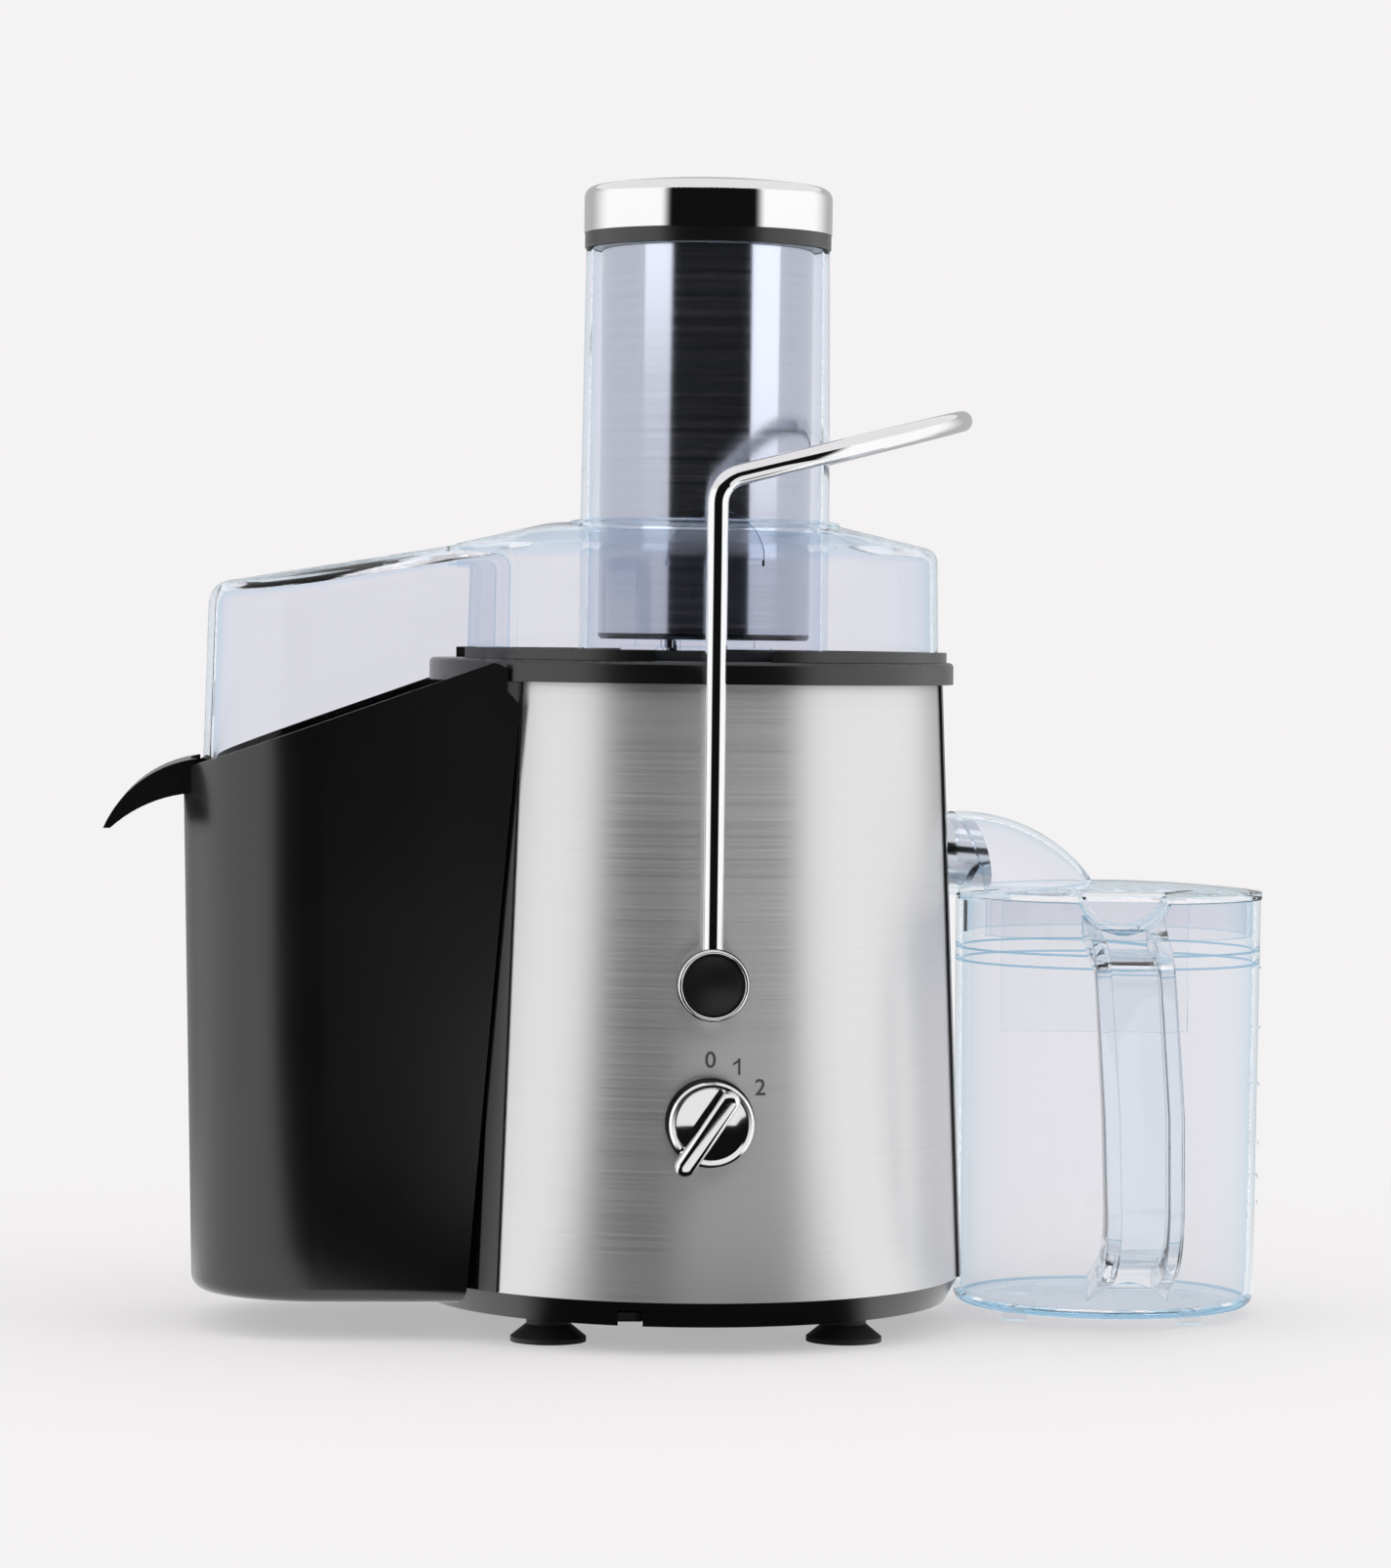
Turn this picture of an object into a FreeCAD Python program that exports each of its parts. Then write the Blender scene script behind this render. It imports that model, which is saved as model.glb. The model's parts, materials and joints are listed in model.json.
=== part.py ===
import FreeCAD, Part
import Sketcher
import math
import os
import re
from FreeCAD import Rotation, Vector

# Centrifugal juicer, millimetres, table at z = 0, motor axis on the z axis, front to -y
doc = FreeCAD.newDocument("juicer")
sheet = doc.addObject("Spreadsheet::Sheet", "sizes")
worked = {}
pieces = {}


def link(text):
    def swap(found):
        word = found.group(0)
        if word in worked:
            return "(" + link(worked[word]) + ")"
        return "sizes." + word if word in sizes else word
    return re.sub(r"(?<![\w.])[A-Za-z_]\w*", swap, text)


def val(text):
    return float(sheet.evalExpression(link(text)))


def bind(thing, **props):
    for prop, text in props.items():
        thing.setExpression(prop, link(text))
    return thing


# Driving sizes
sizes = {
    # Feet and base
    "foot_height": 9.5,
    "foot_cup_radius": 12.8,
    "foot_stem_radius": 7.5,
    "foot_neck_radius": 5,
    "foot_head_radius": 6.5,
    "foot_rim": 1.6,
    "foot_cup_rise": 3.6,
    "foot_head_height": 2.5,
    "foot_across": 50,
    "foot_along": 52,
    "skirt_height": 8.5,
    "skirt_undercut": 4.5,
    "base_floor": 3,
    "skirt_wall": 3,
    "notch_across": -25,
    "notch_width": 8,
    "notch_height": 5.5,
    "vent_inner": 24,
    "vent_length": 16,
    "vent_width": 4,
    "screw_inset": 8.8,
    "screw_boss_radius": 5,
    "screw_boss_height": 24,
    "screw_radius": 1.6,
    "screw_head_radius": 3.5,
    "screw_head_height": 1.9,
    "screw_length": 16,
    "screw_turn": 20,
    # Tapered housing
    "panel_height": 203.5,
    "panel_base_radius": 95,
    "panel_top_radius": 86,
    "panel_gauge": 0.8,
    "frame_proud": 0.9,
    "shell_wall": 3,
    "panel_left": 45.5,
    "post_span": 5,
    "spine_half": 23.5,
    "deck_drop": 85,
    "deck_gauge": 3,
    "deck_hole": 16,
    "fit": 0.15,
    "run_gap": 0.3,
    "shaft_gap": 0.06,
    # Collar
    "collar_proud": 4.5,
    "band_height": 7.5,
    "lip_height": 3.5,
    "lip_width": 2.6,
    "collar_inset": 7.7,
    "key_width": 38,
    "pulp_gate": 37,
    "ledge_depth": 2.2,
    "collar_round": 1.6,
    # Juice bowl and spout
    "bowl_gauge": 1.2,
    "bowl_flange": 2.5,
    "bowl_slack": 1.5,
    "bowl_draft": 2,
    "bowl_lift": 4.5,
    "bowl_hub_radius": 21,
    "bowl_hub_rise": 34.5,
    "bowl_hub_hole": 9,
    "spout_radius": 11.5,
    "spout_gauge": 1,
    "spout_rise": 12,
    "spout_fall": 5,
    "spout_short": 44,
    "spout_slant": 8,
    "spout_turn": 9.5,
    # Lid
    "drum_inset": 0.8,
    "drum_draft": 0.8,
    "lid_wall": 2.6,
    "drum_height": 38.5,
    "roof_round": 5,
    "roof_rise": 8,
    "tube_foot": 3.5,
    "tube_offset": 4,
    "tube_low_radius": 43,
    "tube_top_radius": 42,
    "tube_wall": 2.4,
    "tube_rise": 141.6,
    "tube_dip": 17,
    "hood_spare": 0.5,
    "hood_inset": 2,
    "hood_corner": 40,
    "hood_slope": 9.6,
    "hood_draft": 1.4,
    "hood_crown": 4.5,
    "hood_arc": 380,
    "hood_rise": 38,
    "hood_round": 8,
    "hood_dip": 9,
    "gate_front": 32,
    "gate_rear": 40,
    "tab_radius": 16,
    "tab_gauge": 2.5,
    "tab_foot": 2,
    "tab_boss_radius": 3.4,
    "rail_width": 27,
    # Pusher
    "pusher_radius": 36.5,
    "pusher_gauge": 1.2,
    "pusher_stand": 7,
    "pusher_foot_height": 6,
    "ring_height": 5,
    "ring_radius": 42.5,
    "cap_radius": 42.8,
    "cap_side": 15.5,
    "cap_dome": 3.5,
    "cap_round": 4,
    "cap_gauge": 2,
    # Locking arm
    "rod_radius": 3.5,
    "leg_stand": 4.6,
    "loop_reach": 90,
    "loop_corner": 78,
    "arm_drop": 20.8,
    "bend_rise": 59.5,
    "bend_radius": 10,
    "loop_tilt": 14.5,
    "hub_radius": 12,
    "hub_depth": 10,
    "hub_stand": 1.05,
    "hub_wall": 0.9,
    "cup_depth": 1.6,
    "cap_bulge": 2.4,
    "pin_radius": 4,
    "pin_long": 13.4,
    "bush_radius": 6.5,
    "bush_flange": 9,
    "bush_flange_depth": 2,
    "socket_depth": 5,
    # Speed knob
    "knob_level": 77.5,
    "knob_radius": 14,
    "knob_skirt": 7.2,
    "knob_dish": 0.7,
    "bezel_radius": 14.8,
    "bezel_depth": 1.2,
    "bezel_stand": 0.83,
    "grip_width": 7,
    "grip_rise": 6.6,
    "grip_front": 13.5,
    "grip_tail": 20,
    "grip_round": 2.6,
    "knob_turn": 34,
    "stem_radius": 3,
    "switch_width": 26,
    "switch_depth": 20,
    "switch_inset": 9.2,
    "switch_bush": 5,
    # Pulp bin
    "bin_base": 13,
    "bin_half": 58,
    "bin_deep": 75,
    "bin_corner": 44,
    "bin_draft": 1.4,
    "bin_wall": 2.4,
    "bin_floor": 2.6,
    "bin_rim_rise": 0.5,
    "bin_rim_near": 66,
    "bin_rim_fall": 0.36,
    "bin_round": 5,
    "bin_gate_drop": 53,
    "bin_clear": 1.2,
    "bin_lip_long": 31,
    "bin_lip_drop": 24,
    "bin_lip_half": 30,
    "shelf_half": 24,
    "shelf_long": 33,
    "shelf_gap": 0.2,
    # Juice jug and its lid
    "jug_stand": 4.2,
    "jug_radius": 53.8,
    "jug_wall": 2.4,
    "jug_under": 16.5,
    "jug_lift": 3.4,
    "jug_floor": 3,
    "jug_round": 4,
    "nub_radius": 4.5,
    "nub_ring": 43,
    "handle_reach": 92,
    "handle_half": 14,
    "handle_web": 2.6,
    "handle_flange": 3,
    "handle_deep": 9.5,
    "handle_drop": 19,
    "handle_foot": 17,
    "handle_turn": 2.6,
    "scoop_radius": 15,
    "scoop_wall": 2,
    "scoop_rise": 5,
    "scoop_inner": 38,
    "handle_bend": 15,
    "lid_edge": 2.4,
    "lid_crown": 3,
    "plug_radius": 50.9,
    "plug_wall": 2,
    "plug_depth": 13,
    "cowl_radius": 27.5,
    "cowl_wall": 2.2,
    "cowl_start": -58.5,
    "cowl_slant": 5,
    "cowl_end": -4,
    "notch_half": 13,
    "notch_end": -40,
    "froth_half": 34,
    "froth_drop": 50,
    "froth_gauge": 2,
    "froth_along": 26,
    # Motor, drive and basket
    "shaft_radius": 4,
    "shaft_tail": 0.8,
    "shaft_short": 0.4,
    "stator_width": 84,
    "stator_depth": 66,
    "stack_hang": 44,
    "stack": 36,
    "bore_radius": 24.5,
    "air_gap": 0.5,
    "commutator_radius": 14,
    "commutator_hang": 21,
    "commutator_height": 15,
    "bearing_radius": 11,
    "bearing_height": 7,
    "bracket_gauge": 5,
    "bracket_depth": 56,
    "pillar_out": 36,
    "pillar_radius": 5.5,
    "motor_hang": 18,
    "bracket_hang": 30,
    "bolt_radius": 2,
    "coil_inner": 26,
    "coil_outer": 33,
    "coil_height": 6.5,
    "fan_radius": 36,
    "fan_hang": 18,
    "fan_height": 9,
    "fan_hub": 8,
    "blade_gauge": 1.6,
    "blade_count": 12,
    "mount_radius": 6,
    "mount_out": 34,
    "mount_along": 20,
    "brush_width": 6,
    "holder_width": 10,
    "holder_end": 29,
    "coupling_radius": 13,
    "coupling_drop": 13.4,
    "coupling_height": 13,
    "lug_radius": 2.5,
    "lug_ring": 9.4,
    "basket_depth": 27.6,
    "basket_base_gauge": 3,
    "basket_low_radius": 52,
    "basket_slack": 5,
    "basket_stand": 2,
    "mesh_gauge": 0.8,
    "rim_ring": 3.5,
    "rim_ring_height": 4,
    "grater_radius": 48,
    "grater_gauge": 1,
    "tooth_height": 1.8,
    "tooth_count": 16,
    "gland_level": 30,
    "gland_radius": 6.5,
    "gland_hole": 3.6,
    # Slack of a steel panel between its posts, in degrees
    "panel_slack": 0.1,
}
for row, (alias, number) in enumerate(sizes.items(), 1):
    sheet.set("A%d" % row, alias)
    sheet.set("B%d" % row, str(number))
    sheet.setAlias("B%d" % row, alias)
doc.recompute()

# Levels and sizes worked out from the driving sizes
worked["deck_level"] = "collar_floor - deck_drop"
worked["bowl_floor"] = "deck_top + bowl_lift"
worked["bowl_hub_top"] = "bowl_floor + bowl_hub_rise"
worked["spout_level"] = "bowl_floor + spout_rise"
worked["basket_rim"] = "collar_floor + basket_stand"
worked["basket_base"] = "basket_rim - basket_depth"
worked["coupling_low"] = "basket_base - coupling_drop"
worked["shaft_top"] = "basket_base - shaft_short"
worked["tube_end"] = "collar_floor - tube_dip"
worked["pusher_bottom"] = "collar_floor + pusher_stand"
worked["tube_top"] = "collar_floor + tube_rise"
worked["hood_edge"] = "collar_floor + hood_rise"
worked["bin_rim_high"] = "collar_floor + bin_rim_rise"
worked["bin_gate"] = "collar_floor - bin_gate_drop"
worked["bend_level"] = "collar_floor + bend_rise"
worked["arm_level"] = "deck_level - arm_drop"
worked["upper_bracket"] = "deck_level - motor_hang"
worked["stator_low"] = "upper_bracket - stack_hang"
worked["commutator_low"] = "stator_low - commutator_hang"
worked["lower_bracket"] = "stator_low - bracket_hang"
worked["fan_low"] = "lower_bracket - fan_hang"
worked["shaft_low"] = "fan_low - shaft_tail"
worked["jug_rim"] = "spout_level - jug_under"
worked["handle_top"] = "jug_rim - handle_drop"
worked["screw_ring"] = "panel_base_radius - screw_inset"
worked["jug_reach"] = "panel_base_radius + jug_radius + jug_stand"
worked["spout_tip"] = "jug_reach - spout_short"
worked["collar_radius"] = "panel_top_radius + collar_proud"
worked["drum_radius"] = "panel_top_radius - drum_inset"
worked["collar_bore"] = "drum_radius - collar_inset"
worked["bowl_flange_radius"] = "collar_bore + bowl_flange"
worked["bowl_top_radius"] = "collar_bore - bowl_slack"
worked["bowl_low_radius"] = "bowl_top_radius - bowl_draft"
worked["basket_top_radius"] = "bowl_top_radius - basket_slack"
worked["bin_reach"] = "panel_base_radius + bin_deep"
worked["bin_lip_reach"] = "bin_reach + bin_lip_long"
worked["hood_reach"] = "bin_reach - hood_inset"
worked["hood_half"] = "bin_half + hood_spare"
worked["shelf_reach"] = "panel_base_radius + shelf_long"
worked["skirt_top"] = "foot_height + skirt_height"
worked["panel_top"] = "skirt_top + panel_height"
worked["panel_taper"] = "(panel_base_radius - panel_top_radius) / panel_height"
worked["core_base"] = "panel_base_radius - panel_gauge - fit"
worked["core_top"] = "panel_top_radius - panel_gauge - fit"
worked["frame_base"] = "panel_base_radius + frame_proud"
worked["frame_top"] = "panel_top_radius + frame_proud"
worked["floor_top"] = "foot_height + base_floor"
worked["collar_floor"] = "panel_top + band_height"
worked["lip_top"] = "collar_floor + lip_height"
worked["lip_inner"] = "drum_radius + run_gap"
worked["lip_outer"] = "lip_inner + lip_width"
worked["ledge"] = "collar_floor - ledge_depth"
worked["deck_top"] = "deck_level + deck_gauge"
worked["drum_top"] = "collar_floor + drum_height"
worked["drum_top_radius"] = "drum_radius - drum_draft"
worked["roof_top"] = "drum_top + roof_rise"
worked["cap_low"] = "tube_top + ring_height"
worked["cap_top"] = "cap_low + cap_side"
worked["stack_top"] = "stator_low + stack"
worked["armature_radius"] = "bore_radius - air_gap"
worked["arm_front"] = "hub_start + hub_depth"
worked["hole"] = "bush_radius + fit"


def taper(level):
    return "(panel_base_radius - (%s - skirt_top) * panel_taper)" % level


# Pieces that stand off the tapered panel
worked["hub_start"] = taper("arm_level") + " + hub_stand"
worked["bezel_start"] = taper("knob_level") + " + bezel_stand"
worked["switch_front"] = "bezel_start - switch_inset"
worked["pin_inner"] = "hub_start - pin_long"
worked["leg_reach"] = "hub_start + leg_stand"


# Small makers for sketches, solids and joins
def origin_plane(owner, role):
    return [f for f in owner.Origin.OriginFeatures if f.Role == role][0]


def arc_between(start, end, radius, turn):
    middle = (start + end) * 0.5
    chord = end - start
    left = Vector(-chord.y, chord.x, 0).normalize()
    rise = math.sqrt(max(radius * radius - chord.Length ** 2 / 4, 0))
    centre = middle + left * rise * turn
    first, last = (start, end) if turn > 0 else (end, start)
    angles = [math.atan2(p.y - centre.y, p.x - centre.x) for p in (first, last)]
    return Part.ArcOfCircle(Part.Circle(centre, Vector(0, 0, 1), radius), angles[0], angles[1])


def sketch_on(owner, name, plane, lift=None):
    sketch = owner.newObject("Sketcher::SketchObject", name)
    sketch.AttachmentSupport = [(origin_plane(owner, plane), "")]
    sketch.MapMode = "FlatFace"
    if lift:
        sketch.setExpression("AttachmentOffset.Base.z", link(lift))
    return sketch


def fix(sketch, name, text, *what):
    number = sketch.addConstraint(Sketcher.Constraint(*what, val(text)))
    sketch.renameConstraint(number, name)
    sketch.setExpression("Constraints." + name, link(text))


# A closed outline; a corner with a radius and a turn starts an arc to the next corner
def outline(owner, name, plane, corners, lift=None):
    sketch = sketch_on(owner, name, plane, lift)
    spots = [Vector(val(c[0]), val(c[1]), 0) for c in corners]
    count = len(corners)
    ends = []
    for i, corner in enumerate(corners):
        start, end = spots[i], spots[(i + 1) % count]
        if len(corner) > 2:
            sketch.addGeometry(arc_between(start, end, val(corner[2]), corner[3]), False)
            ends.append((1, 2) if corner[3] > 0 else (2, 1))
        else:
            sketch.addGeometry(Part.LineSegment(start, end), False)
            ends.append((1, 2))
    for i in range(count):
        nxt = (i + 1) % count
        sketch.addConstraint(Sketcher.Constraint("Coincident", i, ends[i][1], nxt, ends[nxt][0]))
    for i, corner in enumerate(corners):
        fix(sketch, "across%d" % i, corner[0], "DistanceX", i, ends[i][0])
        fix(sketch, "up%d" % i, corner[1], "DistanceY", i, ends[i][0])
        if len(corner) > 2:
            fix(sketch, "round%d" % i, corner[2], "Radius", i)
    return sketch


def circles(owner, name, plane, rings, lift=None):
    sketch = sketch_on(owner, name, plane, lift)
    for i, (across, up, radius) in enumerate(rings):
        centre = Vector(val(across), val(up), 0)
        sketch.addGeometry(Part.Circle(centre, Vector(0, 0, 1), val(radius)), False)
        fix(sketch, "across%d" % i, across, "DistanceX", i, 3)
        fix(sketch, "up%d" % i, up, "DistanceY", i, 3)
        fix(sketch, "radius%d" % i, radius, "Radius", i)
    return sketch


def new_body(name):
    made = doc.addObject("PartDesign::Body", name)
    made.Label = name
    return made


def turned(name, corners, angle=None):
    made = new_body(name)
    sketch = outline(made, name + "_profile", "XZ_Plane", corners)
    turn = made.newObject("PartDesign::Revolution", name + "_turn")
    turn.Profile = sketch
    turn.ReferenceAxis = (sketch, ["V_Axis"])
    turn.Angle = 360
    if angle:
        bind(turn, Angle=angle)
    doc.recompute()
    return made


def add_pad(owner, sketch, length, both=False, draft=None, back=False):
    pad = owner.newObject("PartDesign::Pad", sketch.Name + "_pad")
    pad.Profile = sketch
    pad.Midplane = both
    pad.Reversed = back
    bind(pad, Length=length)
    if draft:
        bind(pad, TaperAngle=draft)
    doc.recompute()
    return pad


def add_pocket(owner, sketch, length, both=False, back=False):
    pocket = owner.newObject("PartDesign::Pocket", sketch.Name + "_pocket")
    pocket.Profile = sketch
    pocket.Midplane = both
    pocket.Reversed = back
    bind(pocket, Length=length)
    doc.recompute()
    return pocket


def padded(name, plane, corners, length, both=True, draft=None, lift=None):
    made = new_body(name)
    sketch = outline(made, name + "_outline", plane, corners, lift)
    add_pad(made, sketch, length, both, draft)
    return made


def polar(owner, feature, count):
    pattern = owner.newObject("PartDesign::PolarPattern", feature.Name + "_ring")
    pattern.Originals = [feature]
    pattern.Axis = ([f for f in owner.Origin.OriginFeatures if f.Role == "Z_Axis"][0], [""])
    pattern.Angle = 360
    bind(pattern, Occurrences=count)
    owner.Tip = pattern
    doc.recompute()
    return pattern


def round_edges(owner, radius, pick):
    base = owner.Tip
    names = ["Edge%d" % (i + 1) for i, e in enumerate(base.Shape.Edges) if pick(e)]
    fillet = owner.newObject("PartDesign::Fillet", owner.Name + "_round")
    fillet.Base = (base, names)
    bind(fillet, Radius=radius)
    doc.recompute()
    return fillet


def softened(name, thing, radius, pick):
    made = doc.addObject("Part::Fillet", name)
    made.Base = thing
    size_now = val(radius)
    made.Edges = [(i + 1, size_now, size_now) for i, e in enumerate(thing.Shape.Edges) if pick(e)]
    doc.recompute()
    return made


def place(thing, x="0", y="0", z="0", axis=None, angle=None):
    if axis:
        thing.Placement.Rotation = Rotation(axis, val(angle))
        thing.setExpression("Placement.Rotation.Angle", link(angle))
    thing.setExpression("Placement.Base.x", link(x))
    thing.setExpression("Placement.Base.y", link(y))
    thing.setExpression("Placement.Base.z", link(z))
    doc.recompute()
    return thing


def cylinder(name, radius, height, x="0", y="0", z="0", axis=None, angle=None):
    made = bind(doc.addObject("Part::Cylinder", name), Radius=radius, Height=height)
    return place(made, x, y, z, axis, angle)


def box(name, low, high):
    made = doc.addObject("Part::Box", name)
    spans = ["(%s) - (%s)" % (b, a) for a, b in zip(low, high)]
    bind(made, Length=spans[0], Width=spans[1], Height=spans[2])
    return place(made, low[0], low[1], low[2])


def join(name, things):
    made = doc.addObject("Part::MultiFuse", name)
    made.Shapes = things
    made.Refine = True
    doc.recompute()
    return made


def shared(name, things):
    made = doc.addObject("Part::MultiCommon", name)
    made.Shapes = things
    doc.recompute()
    return made


def cut(name, base, tools):
    tool = tools[0] if len(tools) == 1 else join(name + "_tools", tools)
    made = doc.addObject("Part::Cut", name)
    made.Base = base
    made.Tool = tool
    made.Refine = True
    doc.recompute()
    return made


def mirrored(name, thing, normal):
    made = doc.addObject("Part::Mirroring", name)
    made.Source = thing
    made.Base = Vector(0, 0, 0)
    made.Normal = normal
    doc.recompute()
    return made


def group(name, things):
    made = doc.addObject("Part::Compound", name)
    made.Links = things
    doc.recompute()
    return made


# One solid at each of the four corners
def four(name, thing):
    right = mirrored(name + "_right", thing, Vector(1, 0, 0))
    rear = mirrored(name + "_rear", thing, Vector(0, 1, 0))
    far = mirrored(name + "_far", rear, Vector(1, 0, 0))
    return group(name, [thing, right, rear, far])


def keep(name, thing):
    thing.Label = name
    pieces[name] = thing
    return thing


def at_level(level, spread=0.05):
    return lambda e: abs(e.BoundBox.ZMin - level) < spread and abs(e.BoundBox.ZMax - level) < spread


ALONG_X = Vector(1, 0, 0)
ALONG_Y = Vector(0, 1, 0)
ALONG_Z = Vector(0, 0, 1)

# Base plate, feet and base screws
skirt = turned("skirt_solid", [
    ("0", "foot_height"), ("panel_base_radius - skirt_undercut", "foot_height"),
    ("panel_base_radius", "skirt_top"), ("panel_base_radius - skirt_wall", "skirt_top"),
    ("panel_base_radius - skirt_wall - skirt_undercut / 2", "floor_top"), ("0", "floor_top")])
vent = circles(skirt, "vent_hole", "XY_Plane", [("vent_inner", "0", "vent_width")], "foot_height")
vent_cut = add_pocket(skirt, vent, "base_floor", back=True)
polar(skirt, vent_cut, "8")
shelf = box("bin_shelf", ("-shelf_reach", "-shelf_half", "foot_height"),
            ("-panel_base_radius + 2 * skirt_undercut", "shelf_half", "bin_base - shelf_gap"))
neck_hole = four("neck_holes", cylinder("neck_hole", "foot_neck_radius + fit", "4 * base_floor",
                                        "-foot_across", "-foot_along", "foot_height - base_floor"))
screw_spot = ("-screw_ring * cos(screw_turn * 1deg)", "-screw_ring * sin(screw_turn * 1deg)")
screw_hole = four("screw_holes", cylinder("screw_hole", "screw_radius + fit", "4 * base_floor",
                                          screw_spot[0], screw_spot[1], "foot_height - base_floor"))
head_hole = four("head_holes", cylinder("head_hole", "screw_head_radius + fit", "screw_head_height + fit",
                                        screw_spot[0], screw_spot[1], "foot_height"))
notch = box("cord_notch",
            ("notch_across - notch_width / 2", "-1.2 * panel_base_radius", "foot_height - 1"),
            ("notch_across + notch_width / 2", "-0.8 * panel_base_radius", "foot_height + notch_height"))
base = cut("base_plate", join("base_solid", [skirt, shelf]), [neck_hole, screw_hole, head_hole, notch])
keep("base_plate", base)

foot = turned("foot", [
    ("0", "foot_cup_rise"), ("foot_cup_radius - foot_rim", "0"), ("foot_cup_radius", "0"),
    ("foot_cup_radius", "foot_rim"), ("foot_stem_radius", "foot_height * 0.62"),
    ("foot_stem_radius", "foot_height"), ("foot_neck_radius", "foot_height"),
    ("foot_neck_radius", "floor_top"), ("foot_head_radius", "floor_top"),
    ("foot_neck_radius", "floor_top + foot_head_height"), ("0", "floor_top + foot_head_height")])
place(foot, "-foot_across", "-foot_along")
keep("suction_feet", four("suction_feet", foot))

base_screw = turned("base_screw", [
    ("0", "foot_height"), ("screw_head_radius", "foot_height"),
    ("screw_head_radius", "foot_height + screw_head_height"),
    ("screw_radius", "foot_height + screw_head_height"),
    ("screw_radius", "foot_height + screw_length"), ("0", "foot_height + screw_length")])
place(base_screw, screw_spot[0], screw_spot[1])
keep("base_screws", four("base_screws", base_screw))

# Housing: tapered black shell with a deck, corner posts and a spine that hold two steel panels
core = turned("shell_core", [("0", "skirt_top"), ("core_base", "skirt_top"), ("core_top", "panel_top"),
                             ("0", "panel_top")])


def frame_strip(name, span, start):
    strip = turned(name, [("core_base - shell_wall", "skirt_top"), ("frame_base", "skirt_top"),
                          ("frame_top", "panel_top"), ("core_top - shell_wall", "panel_top")], span)
    return place(strip, axis=ALONG_Z, angle=start)


post_front = frame_strip("post_front", "post_span", "-90 - panel_left - post_span")
post_rear = frame_strip("post_rear", "post_span", "90 + panel_left")
spine = frame_strip("spine", "2 * spine_half", "spout_turn - spine_half")
low_room = turned("low_room", [
    ("0", "skirt_top - 1"), ("core_base - shell_wall + panel_taper", "skirt_top - 1"),
    (taper("deck_level") + " - panel_gauge - fit - shell_wall", "deck_level"), ("0", "deck_level")])
top_room = turned("top_room", [
    ("0", "deck_top"), (taper("deck_top") + " - panel_gauge - fit - shell_wall", "deck_top"),
    ("core_top - shell_wall", "panel_top"), ("core_top - shell_wall", "panel_top + 1"),
    ("0", "panel_top + 1")])
hollow = cut("shell_hollow", join("shell_solid", [core, post_front, post_rear, spine]),
             [low_room, top_room])
bosses = four("screw_bosses", cylinder("screw_boss", "screw_boss_radius", "screw_boss_height",
                                       screw_spot[0], screw_spot[1], "floor_top"))
boss_room = turned("boss_room",
                   [("0", "0"), ("core_base - fit - skirt_wall - skirt_undercut / 2", "floor_top"),
                    ("core_base - skirt_wall", "skirt_top"), ("core_top", "panel_top"),
                    ("0", "panel_top")])
bosses_in = shared("bosses_inside", [bosses, boss_room])
deck_bore = cylinder("deck_bore", "deck_hole", "3 * deck_gauge", z="deck_level - deck_gauge")
arm_bore = cylinder("arm_bore", "hole", "3 * panel_base_radius", y="1.5 * panel_base_radius",
                    z="arm_level",
                    axis=ALONG_X, angle="90")
knob_bore = cylinder("knob_bore", "switch_bush + fit", "panel_base_radius / 2",
                     y="-panel_base_radius * 0.75",
                     z="knob_level", axis=ALONG_X, angle="90")
gland_bore = cylinder("gland_bore", "gland_radius + fit", "panel_base_radius / 2",
                      y="panel_base_radius * 0.75",
                      z="gland_level", axis=ALONG_X, angle="-90")
spout_bore = cylinder("spout_bore_tool", "spout_radius + run_gap", "panel_base_radius")
spout_bore.Placement.Rotation = Rotation(ALONG_Z, val("spout_turn")).multiply(
    Rotation(ALONG_Y, 90 + val("spout_fall")))
place(spout_bore, z=(taper("spout_level") + " * tan(spout_fall * 1deg) + spout_level"))
screw_pits = four("screw_pits", cylinder("screw_pit", "screw_radius + fit", "screw_length", screw_spot[0],
                                         screw_spot[1], "foot_height"))
mount_holes = four("mount_holes",
                   cylinder("mount_hole", "bolt_radius + fit", "3 * deck_gauge", "-mount_out",
                            "-mount_along", "deck_level - deck_gauge"))
shell = cut("housing_shell", join("shell_with_bosses", [hollow, bosses_in]),
            [deck_bore, arm_bore, knob_bore, gland_bore, spout_bore, screw_pits, mount_holes])
keep("housing_shell", shell)


def steel_panel(name, span, start, holes):
    sheet_steel = turned(name + "_sheet", [
        ("panel_base_radius - panel_gauge", "skirt_top"), ("panel_base_radius", "skirt_top"),
        ("panel_top_radius", "panel_top"), ("panel_top_radius - panel_gauge", "panel_top")], span)
    place(sheet_steel, axis=ALONG_Z, angle=start)
    keep(name, cut(name, sheet_steel, holes))


steel_panel("front_panel", "90 + panel_left + spout_turn - spine_half - 2 * panel_slack",
            "-90 - panel_left + panel_slack", [arm_bore, knob_bore])
steel_panel("rear_panel", "90 + panel_left - spout_turn - spine_half - 2 * panel_slack",
            "spout_turn + spine_half + panel_slack", [arm_bore, gland_bore])

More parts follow.
